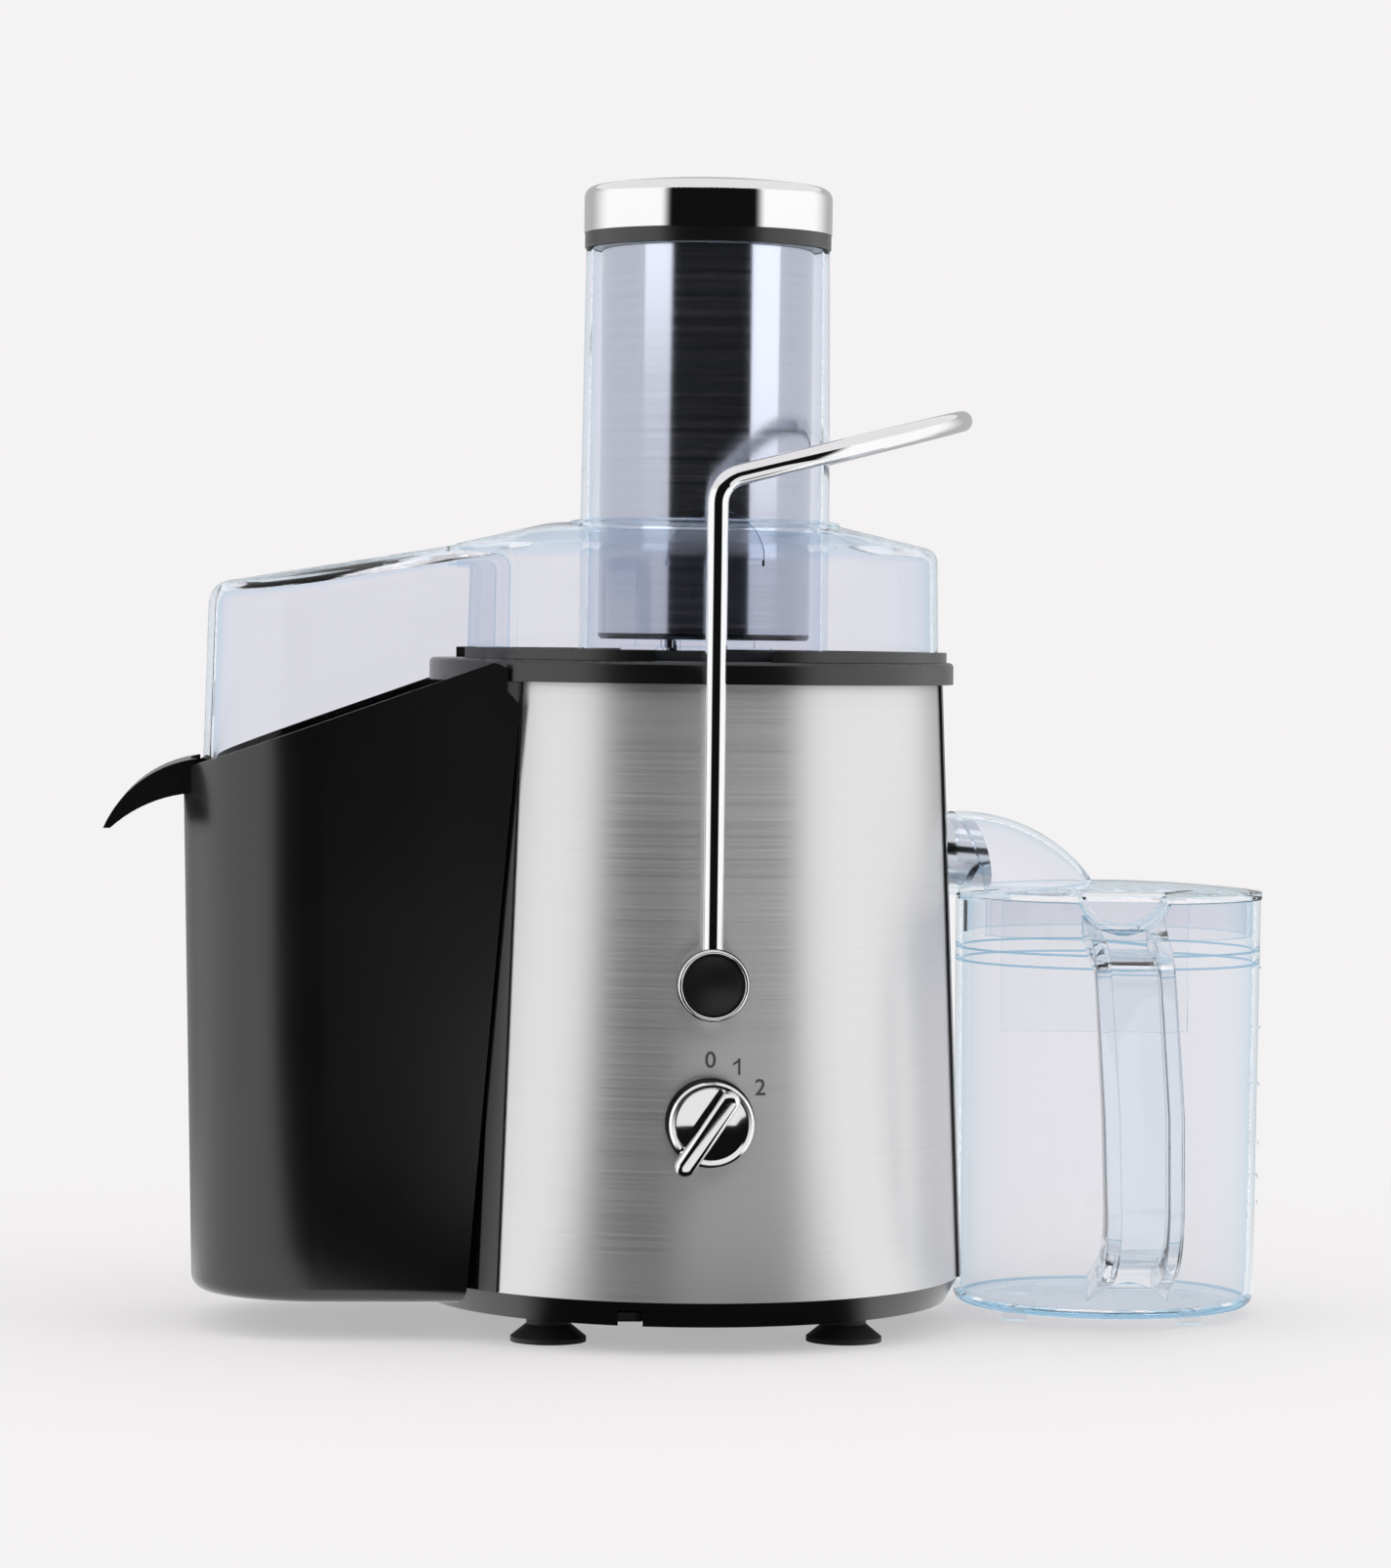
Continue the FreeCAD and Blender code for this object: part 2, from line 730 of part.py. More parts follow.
# Top collar with its lip, key notches and pulp gate
collar_ring = turned("collar_ring", [
    ("collar_bore", "panel_top"), ("collar_radius", "panel_top"), ("collar_radius", "collar_floor"),
    ("lip_outer", "collar_floor"), ("lip_outer", "lip_top"), ("lip_inner", "lip_top"),
    ("lip_inner", "collar_floor"), ("bowl_flange_radius + fit", "collar_floor"),
    ("bowl_flange_radius + fit", "ledge"), ("collar_bore", "ledge")])
round_edges(collar_ring, "collar_round", lambda e: at_level(val("collar_floor"))(e)
            and abs(e.BoundBox.XMax - val("collar_radius")) < 0.05)
key_hole = box("key_hole", ("-key_width / 2 - run_gap", "-2 * collar_radius", "collar_floor"),
               ("key_width / 2 + run_gap", "2 * collar_radius", "lip_top + 1"))
gate = box("collar_gate", ("-2 * collar_radius", "-pulp_gate", "collar_floor"),
           ("-collar_radius / 2", "pulp_gate", "lip_top + 1"))
keep("top_collar", cut("top_collar", collar_ring, [key_hole, gate]))

# Juice bowl, spout and shaft seal
bowl = turned("bowl_solid", [
    ("bowl_hub_hole", "bowl_hub_top"), ("bowl_hub_radius", "bowl_hub_top"),
    ("bowl_hub_radius + bowl_gauge", "bowl_floor"), ("bowl_low_radius", "bowl_floor"),
    ("bowl_top_radius", "ledge"), ("bowl_flange_radius", "ledge"),
    ("bowl_flange_radius", "ledge + bowl_gauge"), ("bowl_top_radius - bowl_gauge", "ledge + bowl_gauge"),
    ("bowl_low_radius - bowl_gauge", "bowl_floor + bowl_gauge"),
    ("bowl_hub_radius + 2 * bowl_gauge", "bowl_floor + bowl_gauge"),
    ("bowl_hub_radius + bowl_gauge", "bowl_hub_top + bowl_gauge"),
    ("bowl_hub_hole", "bowl_hub_top + bowl_gauge")])
spout_start = "bowl_low_radius - 3 * bowl_gauge"
spout_long = "(spout_tip - (%s)) / cos(spout_fall * 1deg)" % spout_start
spout = turned("spout_tube", [
    ("spout_radius - spout_gauge", "0"), ("spout_radius", "0"), ("spout_radius", spout_long),
    ("spout_radius - spout_gauge", spout_long)])
slant = outline(spout, "spout_slant_cut", "XZ_Plane", [
    ("-spout_radius - 1", spout_long), ("-spout_radius", spout_long),
    ("spout_radius", spout_long + " - spout_slant"), ("2 * spout_radius", spout_long + " - spout_slant"),
    ("2 * spout_radius", spout_long + " + spout_radius"),
    ("-spout_radius - 1", spout_long + " + spout_radius")])
add_pocket(spout, slant, "4 * spout_radius", both=True)
spout.Placement.Rotation = Rotation(ALONG_Z, val("spout_turn")).multiply(
    Rotation(ALONG_Y, 90 + val("spout_fall"))).multiply(Rotation(ALONG_Z, 180))
spout_lift = taper("spout_level") + " - (" + spout_start + ")"
place(spout, "(%s) * cos(spout_turn * 1deg)" % spout_start, "(%s) * sin(spout_turn * 1deg)" % spout_start,
      "spout_level + (%s) * tan(spout_fall * 1deg)" % spout_lift)
keep("juice_spout", spout)
bowl_bore = cylinder("bowl_bore", "spout_radius + fit / 2", "panel_base_radius / 2")
bowl_bore.Placement.Rotation = Rotation(ALONG_Z, val("spout_turn")).multiply(
    Rotation(ALONG_Y, 90 + val("spout_fall")))
half_way = "panel_base_radius / 2"
place(bowl_bore, half_way + " * cos(spout_turn * 1deg)", half_way + " * sin(spout_turn * 1deg)",
      "spout_level + (%s - %s) * tan(spout_fall * 1deg)" % (taper("spout_level"), half_way))
keep("juice_bowl", cut("juice_bowl", bowl, [bowl_bore]))
seal = turned("shaft_seal", [
    ("shaft_radius + shaft_gap", "bowl_hub_top - 2 * bowl_gauge"),
    ("bowl_hub_hole - fit", "bowl_hub_top - 2 * bowl_gauge"),
    ("bowl_hub_hole - fit", "bowl_hub_top + bowl_gauge"),
    ("bowl_hub_hole + 2", "bowl_hub_top + bowl_gauge"),
    ("bowl_hub_hole", "bowl_hub_top + 2.2 * bowl_gauge"),
    ("shaft_radius + shaft_gap", "bowl_hub_top + 2.2 * bowl_gauge")])
keep("shaft_seal", seal)

# Motor standing parts
stator = padded("stator_block", "XY_Plane", [
    ("-stator_width / 2", "-stator_depth / 2"), ("stator_width / 2", "-stator_depth / 2"),
    ("stator_width / 2", "stator_depth / 2"), ("-stator_width / 2", "stator_depth / 2")],
                "stack", both=False, lift="stator_low")
round_edges(stator, "coil_height", lambda e: e.BoundBox.ZLength > val("stack") / 2)
stator_bore = cylinder("stator_bore", "bore_radius", "2 * stack", z="stator_low - stack / 2")
bolt_hole = cylinder("bolt_hole", "bolt_radius + fit", "deck_level", "-pillar_out", "0", "0")
bolt_holes = group("bolt_holes", [bolt_hole, mirrored("bolt_hole_right", bolt_hole, ALONG_X)])
keep("motor_stator", cut("motor_stator", stator, [stator_bore, bolt_holes]))
low_coil = turned("low_coil",
                  [("coil_inner", "stator_low - coil_height"),
                   ("coil_outer - 4", "stator_low - coil_height"),
                   ("coil_outer - 4", "stator_low"), ("coil_inner", "stator_low")])
top_coil = turned("top_coil", [("coil_inner", "stack_top"), ("coil_outer - 4", "stack_top"),
                               ("coil_outer - 4", "stack_top + coil_height"),
                               ("coil_inner", "stack_top + coil_height")])
keep("field_coils", group("field_coils", [low_coil, top_coil]))


def bracket(name, plate_low, boss_low, boss_high, pillar_low, pillar_high, bearing_low):
    plate = box(name + "_plate", ("-stator_width / 2", "-bracket_depth / 2", plate_low),
                ("stator_width / 2", "bracket_depth / 2", plate_low + " + bracket_gauge"))
    boss = cylinder(name + "_boss", "bearing_radius + 3", "%s - (%s)" % (boss_high, boss_low), z=boss_low)
    pillar = cylinder(name + "_pillar", "pillar_radius", "%s - (%s)" % (pillar_high, pillar_low),
                      "-pillar_out",
                      "0", pillar_low)
    solid = join(name + "_solid",
                 [plate, boss, pillar, mirrored(name + "_pillar_right", pillar, ALONG_X)])
    pocket = cylinder(name + "_pocket", "bearing_radius + fit / 2", "bearing_height", z=bearing_low)
    throat = cylinder(name + "_throat", "bearing_radius - 3", "deck_level", z="0")
    tapped = four(name + "_taps",
                  cylinder(name + "_tap", "bolt_radius + fit", "3 * bracket_gauge", "-mount_out",
                           "-mount_along", plate_low + " - bracket_gauge"))
    keep(name, cut(name, solid, [pocket, throat, bolt_holes, tapped]))
    ring = turned(name + "_bearing", [
        ("shaft_radius + fit / 2", bearing_low), ("bearing_radius", bearing_low),
        ("bearing_radius", bearing_low + " + bearing_height"),
        ("shaft_radius + fit / 2", bearing_low + " + bearing_height")])
    return ring


top_low = "upper_bracket + bracket_gauge + 2"
upper_ring = bracket("upper_bracket", "upper_bracket", "upper_bracket", top_low + " + bearing_height",
                     "stack_top",
                     "upper_bracket", top_low)
lower_ring = bracket("lower_bracket", "lower_bracket", "lower_bracket - 4",
                     "lower_bracket + bracket_gauge",
                     "lower_bracket", "stator_low", "lower_bracket - 4")
keep("motor_bearings", group("motor_bearings", [upper_ring, lower_ring]))
bolt = turned("motor_bolt", [
    ("0", "lower_bracket - 3"), ("1.8 * bolt_radius", "lower_bracket - 3"),
    ("1.8 * bolt_radius", "lower_bracket"),
    ("bolt_radius", "lower_bracket"), ("bolt_radius", "upper_bracket + bracket_gauge"),
    ("1.8 * bolt_radius", "upper_bracket + bracket_gauge"),
    ("1.8 * bolt_radius", "upper_bracket + bracket_gauge + 3"),
    ("0", "upper_bracket + bracket_gauge + 3")])
place(bolt, "-pillar_out")
keep("motor_bolts", group("motor_bolts", [bolt, mirrored("motor_bolt_right", bolt, ALONG_X)]))
mount = turned("motor_mount", [
    ("bolt_radius + fit", "upper_bracket + bracket_gauge"),
    ("mount_radius", "upper_bracket + bracket_gauge"),
    ("mount_radius", "deck_level"), ("bolt_radius + fit", "deck_level")])
place(mount, "-mount_out", "-mount_along")
keep("motor_mounts", four("motor_mounts", mount))
mount_screw = turned("mount_screw", [
    ("0", "upper_bracket"), ("bolt_radius", "upper_bracket"), ("bolt_radius", "deck_top"),
    ("1.8 * bolt_radius", "deck_top"), ("1.8 * bolt_radius", "deck_top + 1.2 * bolt_radius"),
    ("0", "deck_top + 1.2 * bolt_radius")])
place(mount_screw, "-mount_out", "-mount_along")
keep("mount_screws", four("mount_screws", mount_screw))
brush_level = "commutator_low + commutator_height / 2"
holder_block = box("holder_block", ("-holder_end", "-holder_width / 2", "lower_bracket + bracket_gauge"),
                   ("-commutator_radius - 2", "holder_width / 2", brush_level + " + holder_width / 2"))
brush_room = box("brush_room",
                 ("-holder_end - 1", "-brush_width / 2 - fit", brush_level + " - brush_width / 2 - fit"),
                 ("0", "brush_width / 2 + fit", brush_level + " + brush_width / 2 + fit"))
holder = cut("brush_holder", holder_block, [brush_room])
keep("brush_holders", group("brush_holders", [holder, mirrored("brush_holder_right", holder, ALONG_X)]))
brush = box("carbon_brush", ("-holder_end + 4", "-brush_width / 2", brush_level + " - brush_width / 2"),
            ("-commutator_radius - run_gap", "brush_width / 2", brush_level + " + brush_width / 2"))
keep("carbon_brushes", group("carbon_brushes", [brush, mirrored("carbon_brush_right", brush, ALONG_X)]))

# Spinning parts: shaft, armature, commutator, fan, coupling, basket
shaft = turned("motor_shaft",
               [("0", "shaft_low"), ("shaft_radius", "shaft_low"), ("shaft_radius", "shaft_top"),
                ("0", "shaft_top")])
keep("motor_shaft", shaft)


def sleeve(name, radius, low, high, slack="fit / 3"):
    return turned(name, [("shaft_radius + " + slack, low), (radius, low), (radius, high),
                         ("shaft_radius + " + slack, high)])


armature = sleeve("armature", "armature_radius", "stator_low", "stack_top")
slot = circles(armature, "armature_slot", "XY_Plane", [("armature_radius - 1", "0", "2.4")], "stator_low")
polar(armature, add_pocket(armature, slot, "stack", back=True), "12")
keep("armature", armature)
commutator = sleeve("commutator", "commutator_radius", "commutator_low",
                    "commutator_low + commutator_height")
keep("commutator", commutator)
fan = sleeve("cooling_fan", "fan_hub", "fan_low", "fan_low + fan_height")
blade = outline(fan, "fan_blade", "XY_Plane", [
    ("fan_hub - 1", "-blade_gauge / 2"), ("fan_radius", "-blade_gauge / 2 + 6"),
    ("fan_radius", "blade_gauge / 2 + 6"), ("fan_hub - 1", "blade_gauge / 2")], "fan_low")
polar(fan, add_pad(fan, blade, "fan_height"), "blade_count")
keep("cooling_fan", fan)
coupling = sleeve("drive_coupling", "coupling_radius", "coupling_low", "coupling_low + coupling_height")
lug = circles(coupling, "drive_lug", "XY_Plane", [("lug_ring", "0", "lug_radius")],
              "coupling_low + coupling_height")
polar(coupling, add_pad(coupling, lug, "basket_base_gauge"), "3")
keep("drive_coupling", coupling)
worked["base_top"] = "basket_base + basket_base_gauge"
basket_base = turned("basket_base", [
    ("0", "basket_base"), ("coupling_radius + fit", "basket_base"),
    ("coupling_radius + fit", "basket_base - 6"),
    ("coupling_radius + 4", "basket_base - 6"), ("coupling_radius + 5", "basket_base"),
    ("basket_low_radius", "basket_base"), ("basket_low_radius", "base_top"), ("0", "base_top")])
lug_room = circles(basket_base, "lug_room", "XY_Plane", [("lug_ring", "0", "lug_radius + fit")],
                   "basket_base")
polar(basket_base, add_pocket(basket_base, lug_room, "basket_base_gauge", back=True), "3")
keep("basket_base", basket_base)
mesh_top = "basket_rim - rim_ring_height"
filter_cone = turned("filter_mesh", [
    ("basket_low_radius - 2.4", "base_top"), ("basket_low_radius", "base_top"),
    ("basket_top_radius", mesh_top), ("basket_top_radius + 2", mesh_top),
    ("basket_top_radius + 2", mesh_top + " + mesh_gauge"),
    ("basket_top_radius - mesh_gauge", mesh_top + " + mesh_gauge"),
    ("basket_low_radius - mesh_gauge", "base_top + mesh_gauge"),
    ("basket_low_radius - 2.4", "base_top + mesh_gauge")])
keep("filter_mesh", filter_cone)
rim_ring = turned("basket_rim", [
    ("basket_top_radius - mesh_gauge", mesh_top + " + mesh_gauge"),
    ("basket_top_radius + rim_ring", mesh_top + " + mesh_gauge"),
    ("basket_top_radius + rim_ring", "basket_rim - 1"),
    ("basket_top_radius + rim_ring - 1", "basket_rim"),
    ("basket_top_radius - mesh_gauge", "basket_rim")])
keep("basket_rim", rim_ring)
grater = turned("grater_disc", [("0", "base_top"), ("grater_radius", "base_top"),
                                ("grater_radius", "base_top + grater_gauge"),
                                ("0", "base_top + grater_gauge")])
for row, (far,
          count) in enumerate([("0.9", "tooth_count * 1.5"), ("0.68", "tooth_count"),
                               ("0.44", "tooth_count * 0.625")]):
    tooth = outline(grater, "tooth_row%d" % row, "XY_Plane", [
        ("grater_radius * %s" % far, "-1.5"), ("grater_radius * %s + 3" % far, "0"),
        ("grater_radius * %s" % far, "1.5")],
                    "base_top + grater_gauge / 2")
    polar(grater, add_pad(grater, tooth, "grater_gauge / 2 + tooth_height"), count)
keep("grater_disc", grater)

# Lid: drum, roof, side hood and feed tube in one clear moulding
drum = turned("drum_solid", [
    ("0", "collar_floor"), ("drum_radius", "collar_floor"), ("drum_top_radius", "drum_top"),
    ("tube_low_radius + tube_offset + tube_foot", "roof_top"), ("0", "roof_top")])
round_edges(drum, "roof_round", at_level(val("drum_top")))
drum_room = turned("drum_room", [
    ("0", "collar_floor - 1"), ("drum_radius - lid_wall", "collar_floor - 1"),
    ("drum_top_radius - lid_wall", "drum_top - lid_wall"),
    ("tube_low_radius + tube_offset + tube_foot", "roof_top - lid_wall"), ("0", "roof_top - lid_wall")])
round_edges(drum_room, "roof_round - 0.9 * lid_wall", at_level(val("drum_top - lid_wall")))
hood_near = "-0.3 * hood_reach"
worked["roof_half"] = "1.3 * hood_half"


def end_rounded(near, half, reach, corner):
    return [(near, "-(%s)" % half), (near, half), ("(%s) - (%s)" % (corner, reach), half, corner, 1),
            ("-(%s)" % reach, "(%s) - (%s)" % (half, corner)),
            ("-(%s)" % reach, "(%s) - (%s)" % (corner, half), corner, 1),
            ("(%s) - (%s)" % (corner, reach), "-(%s)" % half)]


def hood_roof(name, drop):
    roof = padded(name, "YZ_Plane", [
        ("roof_half", "sqrt(hood_arc^2 - roof_half^2) - sqrt(hood_arc^2 - hood_half^2)", "hood_arc", 1),
        ("-roof_half", "sqrt(hood_arc^2 - roof_half^2) - sqrt(hood_arc^2 - hood_half^2)"),
        ("-roof_half", "-hood_reach"), ("roof_half", "-hood_reach")], "3 * hood_reach")
    return place(roof, "-hood_half", "0", "hood_edge - " + drop, ALONG_Y, "-hood_slope")


hood_block = padded("hood_block", "XY_Plane",
                    end_rounded(hood_near, "hood_half", "hood_reach", "hood_corner"),
                    "drum_top - bin_gate + 40", both=False, draft="-hood_draft", lift="bin_gate")
hood_top = shared("hood_top", [hood_block, hood_roof("hood_roof", "0")])


def along_roof(e):
    span = e.BoundBox
    end_face = span.XLength < 0.5 and span.XMax > val(hood_near) - 8
    return span.ZMin > val("panel_top") and span.ZLength < 30 and not end_face


hood_soft = softened("hood_soft", hood_top, "hood_round", along_roof)
skirt_line = "bin_rim_high - (%s - bin_rim_near) * bin_rim_fall - hood_dip"
step_at = "sqrt((collar_radius + bin_clear)^2 - (hood_half - lid_wall - 1)^2)"
hood_keep = padded("hood_keep", "XZ_Plane", [
    ("0", "lip_top + run_gap"), ("-(%s)" % step_at, "lip_top + run_gap"),
    ("-(%s)" % step_at, skirt_line % step_at),
    ("-1.1 * hood_reach", skirt_line % "1.1 * hood_reach"), ("-1.1 * hood_reach", "2 * drum_top"),
    ("0", "2 * drum_top")],
                   "4 * hood_half")
hood_outer = shared("hood_outer", [hood_soft, hood_keep])
room_block = padded("hood_room_block", "XY_Plane",
                    end_rounded(hood_near, "hood_half - lid_wall", "hood_reach - lid_wall",
                                "hood_corner - lid_wall"),
                    "drum_top - bin_gate + 60", both=False, draft="-hood_draft", lift="bin_gate - 20")
room_top = shared("hood_room_top", [room_block, hood_roof("hood_room_roof", "lid_wall")])
room_soft = softened("hood_room_soft", room_top, "hood_round - 0.8 * lid_wall", along_roof)
hood_room = cut("hood_room", room_soft, [drum])
window = box("pulp_window", ("-1.2 * drum_radius", "-gate_front", "collar_floor - 1"),
             ("-0.6 * drum_radius", "gate_rear", "drum_top - roof_round - 2"))
tube_bore = cylinder("tube_bore", "tube_low_radius - tube_wall / 2", "drum_top", "tube_offset", "0",
                     "drum_top / 2 + 60")
lid_shell = cut("lid_shell", join("lid_solid", [drum, hood_outer]),
                [drum_room, hood_room, window, tube_bore])
tube = turned("feed_tube", [
    ("tube_low_radius - tube_wall", "tube_end"), ("tube_low_radius", "tube_end"),
    ("tube_low_radius", "roof_top - lid_wall"), ("tube_low_radius + tube_foot", "roof_top - lid_wall"),
    ("tube_low_radius + tube_foot", "roof_top + 1"), ("tube_low_radius", "roof_top + 1.6"),
    ("tube_top_radius", "tube_top"), ("tube_top_radius - tube_wall", "tube_top")])
place(tube, "tube_offset")

# Front catch tab, its boss and the locating key; the rear ones are mirror images
worked["tab_out"] = "leg_reach - rod_radius - 1.4"
worked["tab_low"] = "drum_top - roof_round - tab_foot"
tab = padded("catch_tab", "XZ_Plane", [
    ("-tab_radius", "tab_low"), ("tab_radius", "tab_low"),
    ("tab_radius", "tab_low + tab_foot + roof_round / 2", "1.01 * tab_radius", 1),
    ("-tab_radius", "tab_low + tab_foot + roof_round / 2")], "tab_gauge", both=False)
place(tab, y="tab_gauge - tab_out")
tab_ledge = box("tab_ledge", ("-tab_radius", "-tab_out", "tab_low"),
                ("tab_radius", "1 - drum_radius + lid_wall / 2", "tab_low + tab_foot"))
tab_boss = cylinder("tab_boss", "tab_boss_radius", "1 + tab_gauge", y="-tab_out + tab_gauge",
                    z="tab_low + tab_foot + roof_round / 2 + 0.72 * tab_radius", axis=ALONG_X, angle="90")
key = box("lid_key", ("-key_width / 2", "-lip_outer", "collar_floor + run_gap"),
          ("key_width / 2", "1 - drum_radius + lid_wall / 2", "lip_top + 1"))
rail = box("lid_rail", ("-rail_width / 2", "-lip_outer + 1", "collar_floor + run_gap"),
           ("rail_width / 2", "1 - drum_radius + lid_wall / 2", "lip_top + 3.4"))
catch = join("front_catch", [tab, tab_ledge, tab_boss, key, rail])
lid = join("lid", [lid_shell, tube, catch, mirrored("rear_catch", catch, ALONG_Y)])
keep("lid", lid)
seal_out = "drum_radius - lid_wall - 2 * fit"
lid_seal = turned("lid_seal", [
    (seal_out + " - 2", "collar_floor"), (seal_out, "collar_floor"), (seal_out, "collar_floor + 3"),
    (seal_out + " - 1.2", "collar_floor + 3")])
seal_gate = box("seal_gate", ("-2 * collar_radius", "-gate_front", "collar_floor - 1"),
                ("-collar_radius / 2", "gate_rear", "lip_top + 1"))
keep("lid_seal", cut("lid_seal", lid_seal, [seal_gate]))

# Food pusher
worked["sleeve_low"] = "pusher_bottom + pusher_foot_height / 3"
worked["sleeve_in"] = "pusher_radius - pusher_gauge"
pusher = turned("pusher_body", [("sleeve_in", "sleeve_low"), ("pusher_radius", "sleeve_low"),
                                ("pusher_radius", "tube_top"), ("sleeve_in", "tube_top")])
keep("pusher_body", place(pusher, "tube_offset"))
pusher_foot = turned("pusher_foot", [
    ("0", "pusher_bottom"), ("pusher_radius - 1", "pusher_bottom"),
    ("pusher_radius", "pusher_bottom + 1"),
    ("pusher_radius", "sleeve_low"), ("sleeve_in - fit", "sleeve_low"),
    ("sleeve_in - fit", "pusher_bottom + pusher_foot_height"),
    ("0", "pusher_bottom + pusher_foot_height")])
keep("pusher_foot", place(pusher_foot, "tube_offset"))
pusher_ring = turned("pusher_ring",
                     [("sleeve_in - 8", "tube_top"), ("ring_radius", "tube_top"),
                      ("ring_radius", "cap_low"),
                      ("sleeve_in - 8", "cap_low")])
keep("pusher_ring", place(pusher_ring, "tube_offset"))
pusher_cap = turned("pusher_cap", [
    ("cap_radius - cap_gauge", "cap_low"), ("cap_radius", "cap_low"),
    ("cap_radius", "cap_top", "(cap_radius^2 + cap_dome^2) / (2 * cap_dome)", 1),
    ("0", "cap_top + cap_dome"),
    ("0", "cap_top - cap_gauge"), ("cap_radius - cap_gauge", "cap_top - cap_gauge")])
round_edges(pusher_cap, "cap_round",
            lambda e: at_level(val("cap_top"))(e) and e.BoundBox.XMax > val("cap_radius") - 0.1)
keep("pusher_cap", place(pusher_cap, "tube_offset"))


# Locking arm: one bent rod, up from a hub, over the lid in a tilted loop and down to the other hub
def rod_path():
    tilt = math.radians(val("loop_tilt"))
    out, rise = val("leg_reach"), val("bend_level")
    bend, corner = val("bend_radius"), val("loop_corner")
    reach = val("loop_reach") / math.cos(tilt)
    turn = math.pi / 2 - tilt
    foot_z = val("arm_level + hub_radius - socket_depth")
    start_z = rise - bend * math.tan(turn / 2)

    def bent(angle, side):
        return Vector(bend - bend * math.cos(angle), side * out, start_z + bend * math.sin(angle))

    def loop(along, across):
        return Vector(along * math.cos(tilt), across, rise + along * math.sin(tilt))

    inner = reach - corner
    slack = corner * math.sqrt(0.5)
    half = []
    for side in (-1, 1):
        half.append([
            Part.LineSegment(Vector(0, side * out, foot_z), bent(0, side)),
            Part.Arc(bent(0, side), bent(turn / 2, side), bent(turn, side)),
            Part.LineSegment(bent(turn, side), loop(inner, side * out)),
            Part.Arc(loop(inner, side * out), loop(inner + slack, side * (out - corner + slack)),
                     loop(reach, side * (out - corner)))])
    bar = Part.LineSegment(loop(reach, corner - out), loop(reach, out - corner))
    return Part.Wire([c.toShape() for c in half[0] + [bar]] + [c.toShape() for c in reversed(half[1])])


path = doc.addObject("Part::Feature", "rod_path")
path.Shape = rod_path()
ring = bind(doc.addObject("Part::Circle", "rod_section"), Radius="rod_radius")
place(ring, "0", "-leg_reach", "arm_level + hub_radius - socket_depth")
rod = doc.addObject("Part::Sweep", "locking_arm")
rod.Sections = [ring]
rod.Spine = (path, ["Edge%d" % (i + 1) for i in range(len(path.Shape.Edges))])
rod.Solid = True
rod.Transition = "Round corner"
doc.recompute()
keep("locking_arm", rod)
worked["cup_floor"] = "arm_front - cup_depth"
worked["cup_radius"] = "hub_radius - hub_wall - fit"


def outward(thing, level):
    return place(thing, "0", "0", level, ALONG_X, "90")


hub = turned("hub_cup", [
    ("pin_radius + fit", "hub_start"), ("hub_radius - 0.6", "hub_start"),
    ("hub_radius", "hub_start + 0.6"), ("hub_radius", "arm_front"),
    ("hub_radius - hub_wall", "arm_front"), ("hub_radius - hub_wall", "cup_floor"),
    ("pin_radius + fit", "cup_floor")])
socket = cylinder("rod_socket", "rod_radius + fit / 3", "hub_radius", "0", "-leg_reach",
                  "arm_level + hub_radius - socket_depth")
front_hub = keep("arm_hub_front", cut("arm_hub_front", outward(hub, "arm_level"), [socket]))
keep("arm_hub_rear", mirrored("arm_hub_rear", front_hub, ALONG_Y))
pin = turned("pivot_pin", [("0", "pin_inner"), ("pin_radius", "pin_inner"), ("pin_radius", "cup_floor"),
                           ("pin_radius + 2", "cup_floor"), ("pin_radius + 2", "cup_floor + 0.6"),
                           ("0", "cup_floor + 0.6")])
outward(pin, "arm_level")
keep("pivot_pins", group("pivot_pins", [pin, mirrored("pivot_pin_rear", pin, ALONG_Y)]))
bulge = "(cup_radius^2 + (cap_bulge - 0.2)^2) / (2 * (cap_bulge - 0.2))"
cover = turned("hub_cap_front", [
    ("0", "cup_floor + 0.6"), ("pin_radius + 2 + fit", "cup_floor + 0.6"),
    ("pin_radius + 2 + fit", "cup_floor"),
    ("cup_radius", "cup_floor"), ("cup_radius", "arm_front + 0.2", bulge, 1),
    ("0", "arm_front + cap_bulge")])
keep("hub_cap_front", outward(cover, "arm_level"))
keep("hub_cap_rear", mirrored("hub_cap_rear", cover, ALONG_Y))
bush_low = "pin_inner + 4"
bush = turned("arm_bush", [
    ("pin_radius + shaft_gap", bush_low), ("bush_flange", bush_low),
    ("bush_flange", bush_low + " + bush_flange_depth"),
    ("bush_radius", bush_low + " + bush_flange_depth"), ("bush_radius", "hub_start - run_gap"),
    ("pin_radius + shaft_gap", "hub_start - run_gap")])
outward(bush, "arm_level")
keep("arm_bushes", group("arm_bushes", [bush, mirrored("arm_bush_rear", bush, ALONG_Y)]))

